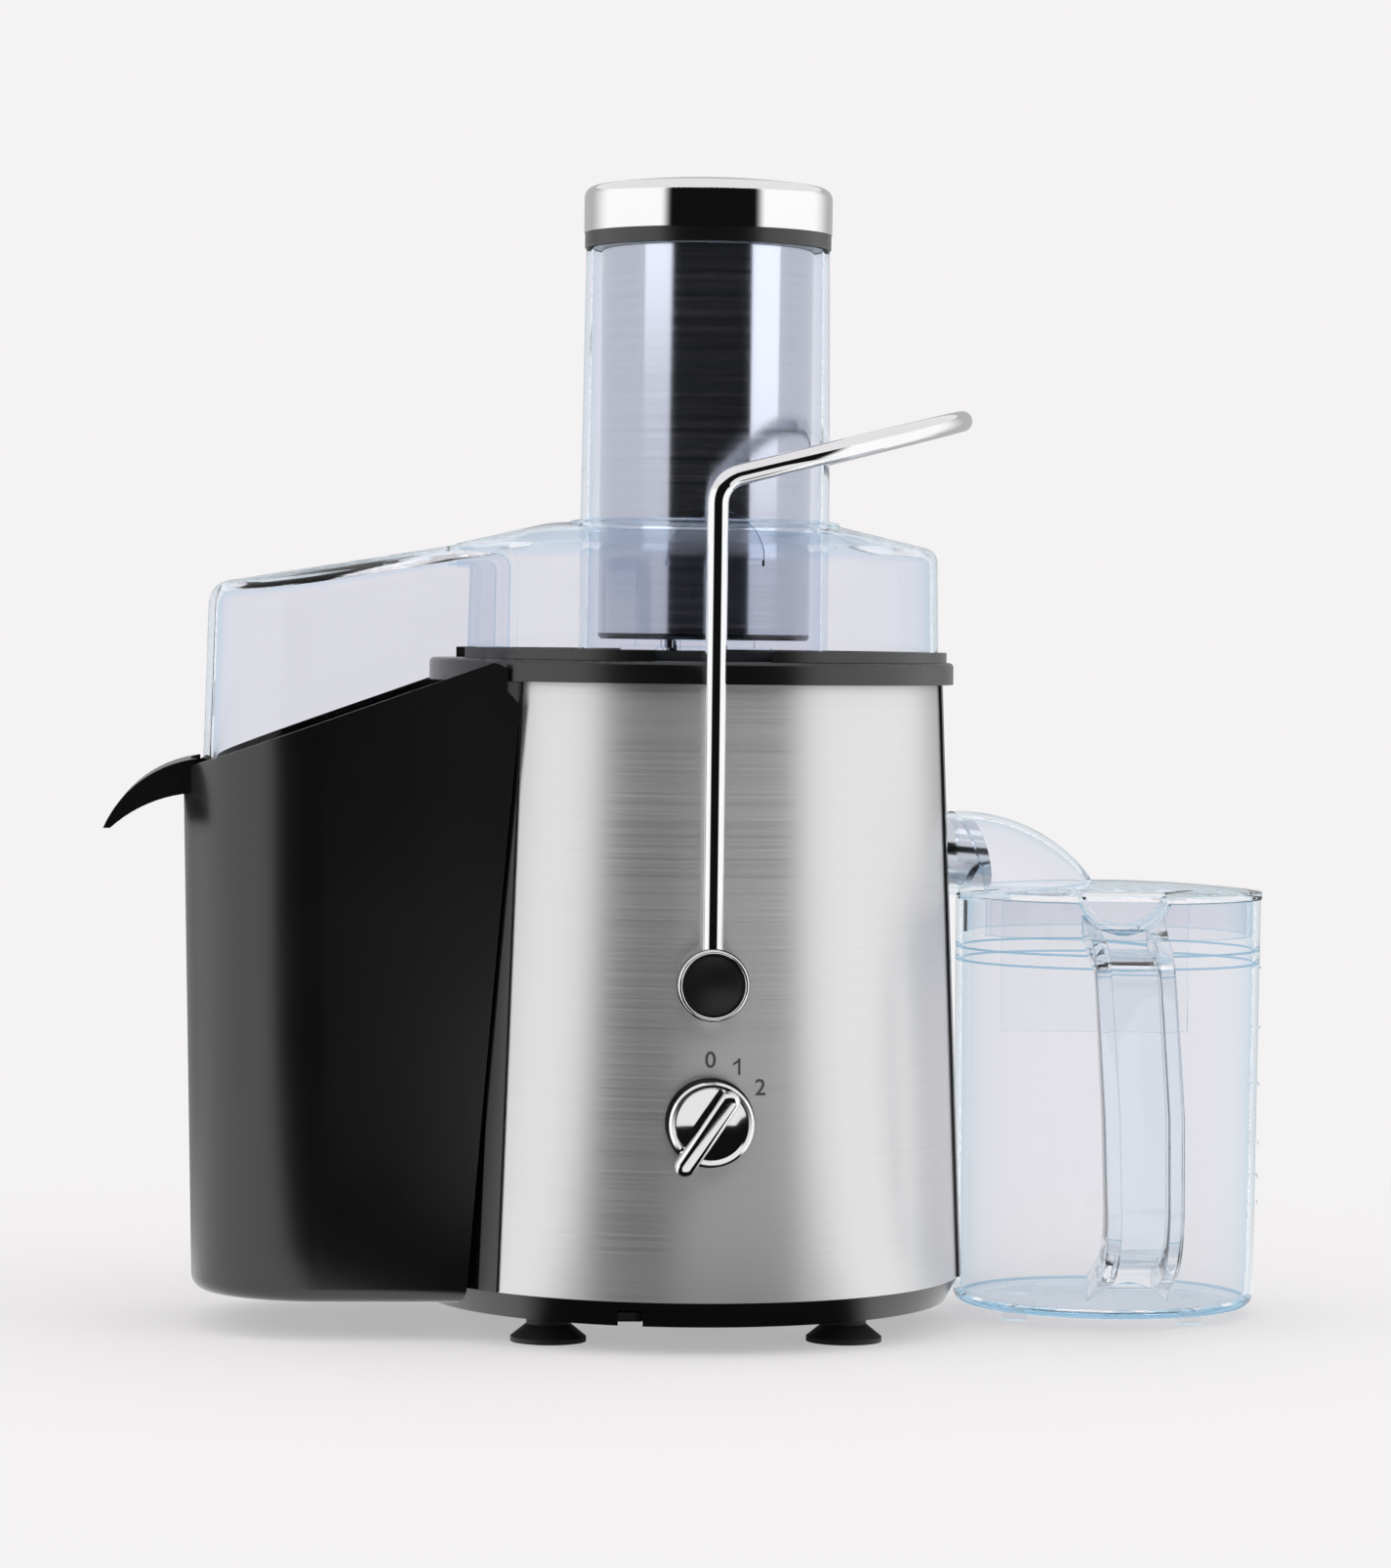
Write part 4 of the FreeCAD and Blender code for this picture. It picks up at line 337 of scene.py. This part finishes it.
def grainGroup():
    group, given, made = newGroup("mouldGrain", {"Size": 1800.0, "Patch": 14.0, "Low": 0.35, "High": 0.5},
                                  ["Grain", "Roughness", "Patch"])
    coords = addNode(group, "ShaderNodeTexCoord")
    fine = addNode(group, "ShaderNodeTexNoise", Detail=2.0, Roughness=0.5)
    broad = addNode(group, "ShaderNodeTexNoise", Detail=3.0, Roughness=0.6)
    for noise, key in ((fine, "Size"), (broad, "Patch")):
        joinUp(group, coords, "Object", noise, "Vector")
        joinUp(group, given, key, noise, "Scale")
    joinUp(group, fine, "Fac", made, "Grain")
    joinUp(group, broad, "Fac", made, "Patch")
    spreadRoughness(group, given, broad, made)
    return group


brushLines = brushGroup()
mouldGrain = grainGroup()


def startMaterial(name, effect, values):
    mat = bpy.data.materials.new(name)
    mat.use_nodes = True
    tree = mat.node_tree
    group = addNode(tree, "ShaderNodeGroup", node_tree=effect)
    setSockets(group, values)
    joinUp(tree, group, "Roughness", tree.nodes["Principled BSDF"], "Roughness")
    return mat, tree, tree.nodes["Principled BSDF"], group


def blended(tree, share, first, second):
    mix = addNode(tree, "ShaderNodeMix", data_type="RGBA")
    tree.links.new(share, mix.inputs[mixPlace["share"]])
    for place, value in (("first", first), ("second", second)):
        if isinstance(value, tuple):
            mix.inputs[mixPlace[place]].default_value = (*value, 1)
        else:
            tree.links.new(value, mix.inputs[mixPlace[place]])
    return mix.outputs[mixPlace["result"]]


def bumped(tree, shader, height, strength, depth):
    bump = addNode(tree, "ShaderNodeBump", Strength=strength, Distance=depth)
    tree.links.new(height, bump.inputs["Height"])
    joinUp(tree, bump, "Normal", shader, "Normal")


def brushedSteel(name, low, high, across, fine, rough, stretch, bump, metal=1.0, depth=0.00004):
    mat, tree, shader, lines = startMaterial(name, brushLines, {"Across": across, "Fine": fine,
                                                                "Low": rough[0], "High": rough[1]})
    setSockets(shader, {"Metallic": metal, "Anisotropic": stretch, "Anisotropic Rotation": 0.25})
    tree.links.new(blended(tree, lines.outputs["Lines"], low, high), shader.inputs["Base Color"])
    bumped(tree, shader, lines.outputs["Lines"], bump, depth)
    return mat


def moulded(name, low, high, size, patch, rough, bump, metal=0.0, shine=0.5, depth=0.00006):
    mat, tree, shader, grain = startMaterial(name, mouldGrain, {"Size": size, "Patch": patch,
                                                                "Low": rough[0], "High": rough[1]})
    setSockets(shader, {"Metallic": metal, "Specular IOR Level": shine})
    tree.links.new(blended(tree, grain.outputs["Patch"], low, high), shader.inputs["Base Color"])
    bumped(tree, shader, grain.outputs["Grain"], bump, depth)
    return mat


# clear plastic bends light little, which keeps slanting walls from going black, and shines by its coat;
# where the wall slants away or a corner is near its colour turns to the edge colour, painted edge lines partly
# for the plastic's own tint seen through more wall and partly for the light its edges catch
clear = {"grain": {"Size": 60.0, "Patch": 25.0, "Low": 0.0, "High": 0.02},
         "coat": {"Coat Weight": 0.4, "Coat IOR": 1.4, "Coat Roughness": 0.04},
         "slant": 4.0, "line": 0.0009, "samples": 4, "corner": {"From Min": 0.99, "From Max": 0.90}}


# mask of the painted edge lines: high where the wall slants away from the view or a corner is near
def paintedEdgeMask(tree):
    slant = addNode(tree, "ShaderNodeLayerWeight", Blend=0.5)
    curve = addNode(tree, "ShaderNodeMath", operation="POWER")
    curve.inputs[1].default_value = clear["slant"]
    joinUp(tree, slant, "Facing", curve, 0)
    rounded = addNode(tree, "ShaderNodeBevel", samples=clear["samples"], Radius=clear["line"])
    face = addNode(tree, "ShaderNodeNewGeometry")
    agree = addNode(tree, "ShaderNodeVectorMath", operation="DOT_PRODUCT")
    joinUp(tree, rounded, "Normal", agree, 0)
    joinUp(tree, face, "Normal", agree, 1)
    corner = addNode(tree, "ShaderNodeMapRange")
    setSockets(corner, clear["corner"])
    joinUp(tree, agree, "Value", corner, "Value")
    mask = addNode(tree, "ShaderNodeMath", operation="MAXIMUM")
    joinUp(tree, curve, 0, mask, 0)
    joinUp(tree, corner, "Result", mask, 1)
    return mask.outputs[0]


def clearPlastic(name, low, high, edge, bend=1.02):
    mat, tree, shader, grain = startMaterial(name, mouldGrain, clear["grain"])
    setSockets(shader, {"Transmission Weight": 1.0, "IOR": bend, **clear["coat"]})
    body = blended(tree, grain.outputs["Patch"], low, high)
    # painted edge lines: the body colour turns to the edge colour where the mask is high
    tree.links.new(blended(tree, paintedEdgeMask(tree), body, edge), shader.inputs["Base Color"])
    return mat


finishes = {
    "brushed_steel": brushedSteel("panelSteel", low=(0.66, 0.655, 0.655), high=(0.79, 0.785, 0.785), across=5.0,
                                  fine=2400.0, rough=(0.32, 0.46), stretch=0.65, bump=0.22, metal=0.84),
    "polished_steel": brushedSteel("sleeveSteel", low=(0.60, 0.63, 0.68), high=(0.68, 0.71, 0.76), across=3.0,
                                   fine=500.0, rough=(0.10, 0.17), stretch=0.3, bump=0.03),
    "chrome": moulded("brightChrome", low=(0.80, 0.80, 0.81), high=(0.88, 0.88, 0.89), size=40.0, patch=30.0,
                      rough=(0.03, 0.07), bump=0.0, metal=1.0),
    "black_plastic": moulded("satinBlack", low=(0.0025, 0.0026, 0.003), high=(0.0045, 0.0046, 0.0052),
                             size=2600.0, patch=9.0, rough=(0.22, 0.29), bump=0.06, shine=0.8),
    "clear_plastic": clearPlastic("clearBlue", low=(0.885, 0.892, 0.930), high=(0.905, 0.912, 0.946),
                                  edge=(0.56, 0.76, 0.90)),
    "rubber": moulded("softRubber", low=(0.010, 0.010, 0.010), high=(0.020, 0.020, 0.020), size=1200.0,
                      patch=40.0, rough=(0.5, 0.7), bump=0.2),
    "machine_steel": moulded("turnedSteel", low=(0.40, 0.40, 0.41), high=(0.55, 0.55, 0.56), size=900.0,
                             patch=60.0, rough=(0.25, 0.42), bump=0.08, metal=1.0),
    "copper": moulded("woundCopper", low=(0.50, 0.22, 0.10), high=(0.72, 0.36, 0.18), size=1500.0, patch=90.0,
                      rough=(0.28, 0.45), bump=0.3, metal=1.0),
    "carbon": moulded("carbonBlock", low=(0.02, 0.02, 0.02), high=(0.05, 0.05, 0.05), size=1500.0, patch=60.0,
                      rough=(0.5, 0.7), bump=0.2),
    "pale_plastic": moulded("paleNylon", low=(0.68, 0.68, 0.65), high=(0.78, 0.78, 0.75), size=900.0, patch=25.0,
                            rough=(0.35, 0.5), bump=0.08),
    "bracket_alloy": moulded("castAlloy", low=(0.52, 0.52, 0.53), high=(0.66, 0.66, 0.67), size=700.0, patch=50.0,
                             rough=(0.35, 0.55), bump=0.2, metal=1.0),
}
# finishes of single pieces that depart from their slot's own
special = {
    "hub": moulded("hubBlack", low=(0.004, 0.004, 0.0045), high=(0.008, 0.008, 0.009), size=1500.0, patch=60.0,
                   rough=(0.30, 0.40), bump=0.12, shine=0.35),
    "jug": clearPlastic("jugClear", low=(0.915, 0.925, 0.950), high=(0.930, 0.940, 0.962),
                        edge=(0.52, 0.76, 0.88), bend=1.025),
    "froth": clearPlastic("frothClear", low=(0.965, 0.970, 0.980), high=(0.975, 0.980, 0.988),
                          edge=(0.78, 0.88, 0.95), bend=1.04),
    # rail: its dark edge colour is painted shade, drawing the dark lines along the handle's clear rails
    "rail": clearPlastic("railClear", low=(0.87, 0.92, 0.965), high=(0.91, 0.95, 0.98),
                         edge=(0.18, 0.30, 0.40), bend=1.45),
    # line: the blue of the thin rings in the jug's wall and floor, painted edge highlights
    "line": clearPlastic("paintedEdgeBlue", low=(0.50, 0.72, 0.86), high=(0.58, 0.78, 0.90), edge=(0.35, 0.60, 0.78)),
    "print": moulded("printGrey", low=(0.055, 0.048, 0.045), high=(0.075, 0.065, 0.06), size=900.0, patch=60.0,
                     rough=(0.4, 0.5), bump=0.0),
}
print("finishes ready,", len(finishes) + len(special))

# the jug's handle: rails made stouter, twisted, and fish-tailed where they meet the wall;
# twist and wide go by height from its foot to its top
jug = {"centre": (0.15090, 0.02525), "wall": 0.0538}
handle = {"turn": 2.6, "low": 0.017, "high": 0.136, "half": 0.014, "flange": 0.011, "rail": 0.0086,
          "twist": ((0.0, 2.9), (0.5, 1.8), (1.0, -1.1)), "wide": ((0.0, 0.92), (0.5, 0.97), (1.0, 0.95)),
          "tail": 0.007, "tailFrom": 0.070, "round": 0.0011, "roundSteps": 3, "sharp": 0.9,
          "step": 0.005, "flat": 0.004, "front": -0.04, "off": 0.0001, "slip": 0.0002, "weld": 1e-6}


def between(value, pairs):
    for (a, low), (b, high) in zip(pairs, pairs[1:]):
        if value <= b:
            return low + (high - low) * max(0.0, (value - a) / (b - a))
    return pairs[-1][1]


def shareAlong(value, low, high):
    return min(1.0, max(0.0, (value - low) / (high - low)))


def offWall(vert):
    return math.hypot(vert.co.x, vert.co.y) > jug["wall"] + handle["off"]


def onHandle(vert):
    return offWall(vert) and vert.co.y < handle["front"]


def handleFaces(bm):
    return [f for f in bm.faces if any(onHandle(v) for v in f.verts)]


def edgesOf(faces):
    return once(e for f in faces for e in f.edges)


def vertsOf(faces):
    return once(v for f in faces for v in f.verts)


def sliceHandle(bm):
    faces = handleFaces(bm)
    inner = [e for e in edgesOf(faces) if all(g in faces for g in e.link_faces)]
    bmesh.ops.dissolve_limit(bm, angle_limit=handle["flat"], verts=[], edges=inner)
    for cut in range(1, int((handle["high"] - handle["low"]) / handle["step"])):
        faces = handleFaces(bm)
        bmesh.ops.bisect_plane(bm, geom=faces + edgesOf(faces) + vertsOf(faces), dist=handle["weld"],
                               plane_co=(0, 0, handle["low"] + cut * handle["step"]), plane_no=(0, 0, 1))


def bendHandle(bm):
    moved = vertsOf(handleFaces(bm))
    for vert in moved:
        if offWall(vert) and abs(abs(vert.co.x) - handle["flange"]) < handle["slip"]:
            vert.co.x = math.copysign(handle["rail"], vert.co.x)
    for vert in moved:
        spot, off = vert.co, offWall(vert)
        height = shareAlong(spot.z, handle["low"], handle["high"])
        near = shareAlong(math.hypot(spot.x, spot.y), handle["tailFrom"], jug["wall"])
        side = abs(spot.x) / handle["half"]
        spot.z += math.copysign(handle["tail"] * near * near * side * side, height - 0.5)
        if off:
            spot.x *= between(height, handle["wide"])
        spot.xyz = Matrix.Rotation(math.radians(between(height, handle["twist"])), 3, "Z") @ spot


def roundHandle(bm):
    shown = handleFaces(bm)
    for face in shown:
        face.material_index = 1
    sharp = [e for e in edgesOf(shown) if e.calc_face_angle(0.0) > handle["sharp"]
             and all(onHandle(v) for v in e.verts) and all(g in shown for g in e.link_faces)]
    bmesh.ops.bevel(bm, geom=sharp, offset=handle["round"], affect="EDGES", segments=handle["roundSteps"],
                    profile=0.5, material=-1, clamp_overlap=True)
    bmesh.ops.triangulate(bm, faces=[f for f in bm.faces if len(f.verts) > 4])


def reshapeHandle(bm):
    across, along = jug["centre"]
    turn = Matrix.Rotation(math.radians(handle["turn"]), 4, "Z")
    toLocal = turn @ Matrix.Translation((-across, -along, 0))
    bmesh.ops.transform(bm, matrix=toLocal, verts=bm.verts[:])
    sliceHandle(bm)
    bendHandle(bm)
    roundHandle(bm)
    bmesh.ops.transform(bm, matrix=toLocal.inverted(), verts=bm.verts[:])


# outer nodes are shown as smooth-shaded copies, the inner ones keep their own mesh
smooth = {
    "angle": 30, "merge": 2e-6,
    "nodes": ["base_plate", "suction_feet", "housing_shell", "front_panel", "rear_panel", "top_collar",
              "juice_spout", "juice_bowl", "filter_mesh", "basket_base", "basket_rim", "grater_disc", "lid",
              "lid_seal", "pusher_body", "pusher_foot", "pusher_ring", "pusher_cap", "locking_arm",
              "arm_hub_front", "arm_hub_rear", "hub_cap_front", "hub_cap_rear", "knob_bezel", "speed_knob",
              "pulp_bin", "juice_jug", "jug_lid", "froth_separator", "cord_gland"],
    "special": {"hub_cap_front": "hub", "hub_cap_rear": "hub", "juice_jug": "jug", "jug_lid": "jug",
                "froth_separator": "froth"},
}


def smoothCopy(node):
    mesh = frame["nodes"][node].data.copy()
    mesh.name = node + ".smooth"
    if "custom_normal" in mesh.attributes:
        mesh.attributes.remove(mesh.attributes["custom_normal"])
    mesh.materials.clear()
    own = smooth["special"].get(node)
    mesh.materials.append(special[own] if own else finishes[slotOf[node]])
    bm = bmesh.new()
    bm.from_mesh(mesh)
    bmesh.ops.remove_doubles(bm, verts=bm.verts[:], dist=smooth["merge"])
    for face in bm.faces:
        face.smooth = True
        face.material_index = 0
    if node == "juice_jug":
        reshapeHandle(bm)
        mesh.materials.append(special["rail"])
    for edge in bm.edges:
        edge.smooth = edge.calc_face_angle(0.0) < math.radians(smooth["angle"])
    bm.to_mesh(mesh)
    bm.free()
    piece = linked(node + ".look", mesh)
    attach(piece, bodyOf[node])
    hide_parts(node)


for node in smooth["nodes"]:
    smoothCopy(node)
for node, thing in frame["nodes"].items():
    if node not in smooth["nodes"]:
        thing.data.materials.clear()
        thing.data.materials.append(finishes[slotOf[node]])
print("smooth copies,", len(smooth["nodes"]))


def addPiece(name, mesh, mat, body):
    mesh.materials.clear()
    mesh.materials.append(mat)
    piece = linked(name, mesh)
    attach(piece, body)


# numbers on the panel round the knob, each at its angle; the font's own one is a bare stroke,
# so it is drawn with its flag
dial = {"level": 0.0775, "ring": 0.0203, "size": 0.0076, "bold": 0.00008, "proud": 0.00006, "thick": 0.00003,
        "curveSteps": 6, "marks": {"0": 0.5, "1": 25.5, "2": 56.5},
        "panelLow": 0.018, "panelRadius": 0.095, "panelFall": 9.0 / 203.5,
        "one": ((0.00065, -0.0027), (0.0014, -0.0027), (0.0014, 0.0027), (0.0008, 0.0027), (0.0003, 0.0020),
                (-0.0011, 0.0011), (-0.0011, 0.0004), (-0.0002, 0.0008), (0.00065, 0.0014))}


def panelDepth(across, level):
    radius = dial["panelRadius"] - (level - dial["panelLow"]) * dial["panelFall"]
    return -math.sqrt(radius * radius - across * across)


def fontNumber(text):
    letter = bpy.data.curves.new("number" + text, "FONT")
    letter.body = text
    letter.size = dial["size"]
    letter.align_x, letter.align_y = "CENTER", "CENTER"
    letter.resolution_u = dial["curveSteps"]
    letter.offset = dial["bold"]
    letter.extrude = dial["thick"]
    draft = linked("draft" + text, letter)
    bpy.context.view_layer.update()
    mesh = bpy.data.meshes.new_from_object(draft.evaluated_get(bpy.context.evaluated_depsgraph_get()))
    bpy.data.objects.remove(draft)
    return mesh


def flaggedOne():
    bm = bmesh.new()
    outline = bm.faces.new([bm.verts.new((x, y, -dial["thick"])) for x, y in dial["one"]])
    raised = bmesh.ops.extrude_face_region(bm, geom=[outline])["geom"]
    lifted = [g for g in raised if isinstance(g, bmesh.types.BMVert)]
    bmesh.ops.translate(bm, verts=lifted, vec=(0, 0, 2 * dial["thick"]))
    bmesh.ops.triangulate(bm, faces=bm.faces[:])
    bmesh.ops.recalc_face_normals(bm, faces=bm.faces[:])
    return meshFrom("numberOne", bm)


def printNumber(text, angle):
    mesh = flaggedOne() if text == "1" else fontNumber(text)
    across = dial["ring"] * math.sin(math.radians(angle))
    level = dial["level"] + dial["ring"] * math.cos(math.radians(angle))
    mesh.transform(Matrix.Translation((across, 0, level)) @ Matrix.Rotation(math.radians(90), 4, "X"))
    for vert in mesh.vertices:
        vert.co.y += panelDepth(vert.co.x, vert.co.z) - dial["proud"]
    addPiece("dialNumber" + text, mesh, special["print"], "base")


for text, angle in dial["marks"].items():
    printNumber(text, angle)
print("dial numbers printed")

# raised fill marks on the jug's right side, long and short by turns
ticks = {"levels": [0.1227, 0.1017, 0.0815, 0.0608, 0.0490, 0.0399], "turn": -14, "spans": (12, 7.2),
         "tall": 0.0007, "deep": 0.00045, "start": 0.0005, "proud": 0.45, "steps": 8, "weld": 1e-6}


def fillMarks():
    bm = bmesh.new()
    for step, level in enumerate(ticks["levels"]):
        span = math.radians(ticks["spans"][step % 2])
        made = bmesh.ops.create_cube(bm, size=1.0)["verts"]
        bmesh.ops.scale(bm, verts=made, vec=(ticks["deep"], ticks["start"], ticks["tall"]))
        bmesh.ops.translate(bm, verts=made, vec=(jug["wall"] + ticks["deep"] * ticks["proud"], 0, level))
        end = [f for f in once(f for v in made for f in v.link_faces) if f.normal.y > 0.9]
        bmesh.ops.spin(bm, geom=end, cent=(0, 0, 0), axis=(0, 0, 1), angle=span, steps=ticks["steps"],
                       use_merge=False)
        bmesh.ops.delete(bm, geom=end, context="FACES_ONLY")
    bmesh.ops.remove_doubles(bm, verts=bm.verts[:], dist=ticks["weld"])
    bmesh.ops.recalc_face_normals(bm, faces=bm.faces[:])
    turn = Matrix.Rotation(math.radians(ticks["turn"]), 3, "Z")
    bmesh.ops.rotate(bm, verts=bm.verts[:], cent=(0, 0, 0), matrix=turn)
    bmesh.ops.translate(bm, verts=bm.verts[:], vec=(*jug["centre"], 0))
    addPiece("jugFillMarks", meshFrom("jugFillMarks", bm), finishes["clear_plastic"], "jug")


fillMarks()
print("fill marks added")

# thin blue rings in the jug's wall and floor, painted edge highlights for the blue lines the clear wall shows
# there, each by radius, level and wire,
# and the bright rim round each hub cap
rings = {"sides": 12, "steps": 96, "upright": Matrix.Rotation(math.radians(90), 3, "X")}
jugEdgeHighlights = ((0.0505, 0.0049, 0.0011), (0.0526, 0.1290, 0.0004), (0.0526, 0.1245, 0.0004))
hubRims = {"caps": ("hub_cap_front", "hub_cap_rear"), "wire": 0.0007, "back": 0.0009}


def wireRing(bm, radius, level, wire):
    made = bmesh.ops.create_circle(bm, segments=rings["sides"], radius=wire)["verts"]
    bmesh.ops.rotate(bm, verts=made, cent=(0, 0, 0), matrix=rings["upright"])
    bmesh.ops.translate(bm, verts=made, vec=(radius, 0, level))
    edges = once(e for v in made for e in v.link_edges)
    bmesh.ops.spin(bm, geom=made + edges, cent=(0, 0, 0), axis=(0, 0, 1), angle=math.tau, steps=rings["steps"],
                   use_merge=True)


def ringPiece(name, bm, mat, body):
    bmesh.ops.recalc_face_normals(bm, faces=bm.faces[:])
    for face in bm.faces:
        face.smooth = True
    addPiece(name, meshFrom(name, bm), mat, body)


# the jug's rings are painted edge highlights, not lines in the plastic
def addEdgeHighlights():
    bm = bmesh.new()
    for radius, level, wire in jugEdgeHighlights:
        wireRing(bm, radius, level, wire)
    bmesh.ops.translate(bm, verts=bm.verts[:], vec=(*jug["centre"], 0))
    ringPiece("jugEdgeHighlights", bm, special["line"], "jug")


def addHubRims():
    for cap in hubRims["caps"]:
        low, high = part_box(cap)
        middle = (Vector(low) + Vector(high)) / 2
        outer = low[1] + hubRims["back"] if middle.y < 0 else high[1] - hubRims["back"]
        bm = bmesh.new()
        wireRing(bm, (high[0] - low[0]) / 2, 0, hubRims["wire"])
        bmesh.ops.rotate(bm, verts=bm.verts[:], cent=(0, 0, 0), matrix=rings["upright"])
        bmesh.ops.translate(bm, verts=bm.verts[:], vec=(middle.x, outer, middle.z))
        ringPiece(cap.replace("hub_cap_", "hubRim."), bm, finishes["chrome"], bodyOf[cap])


addEdgeHighlights()
addHubRims()
print("lines and rims added")
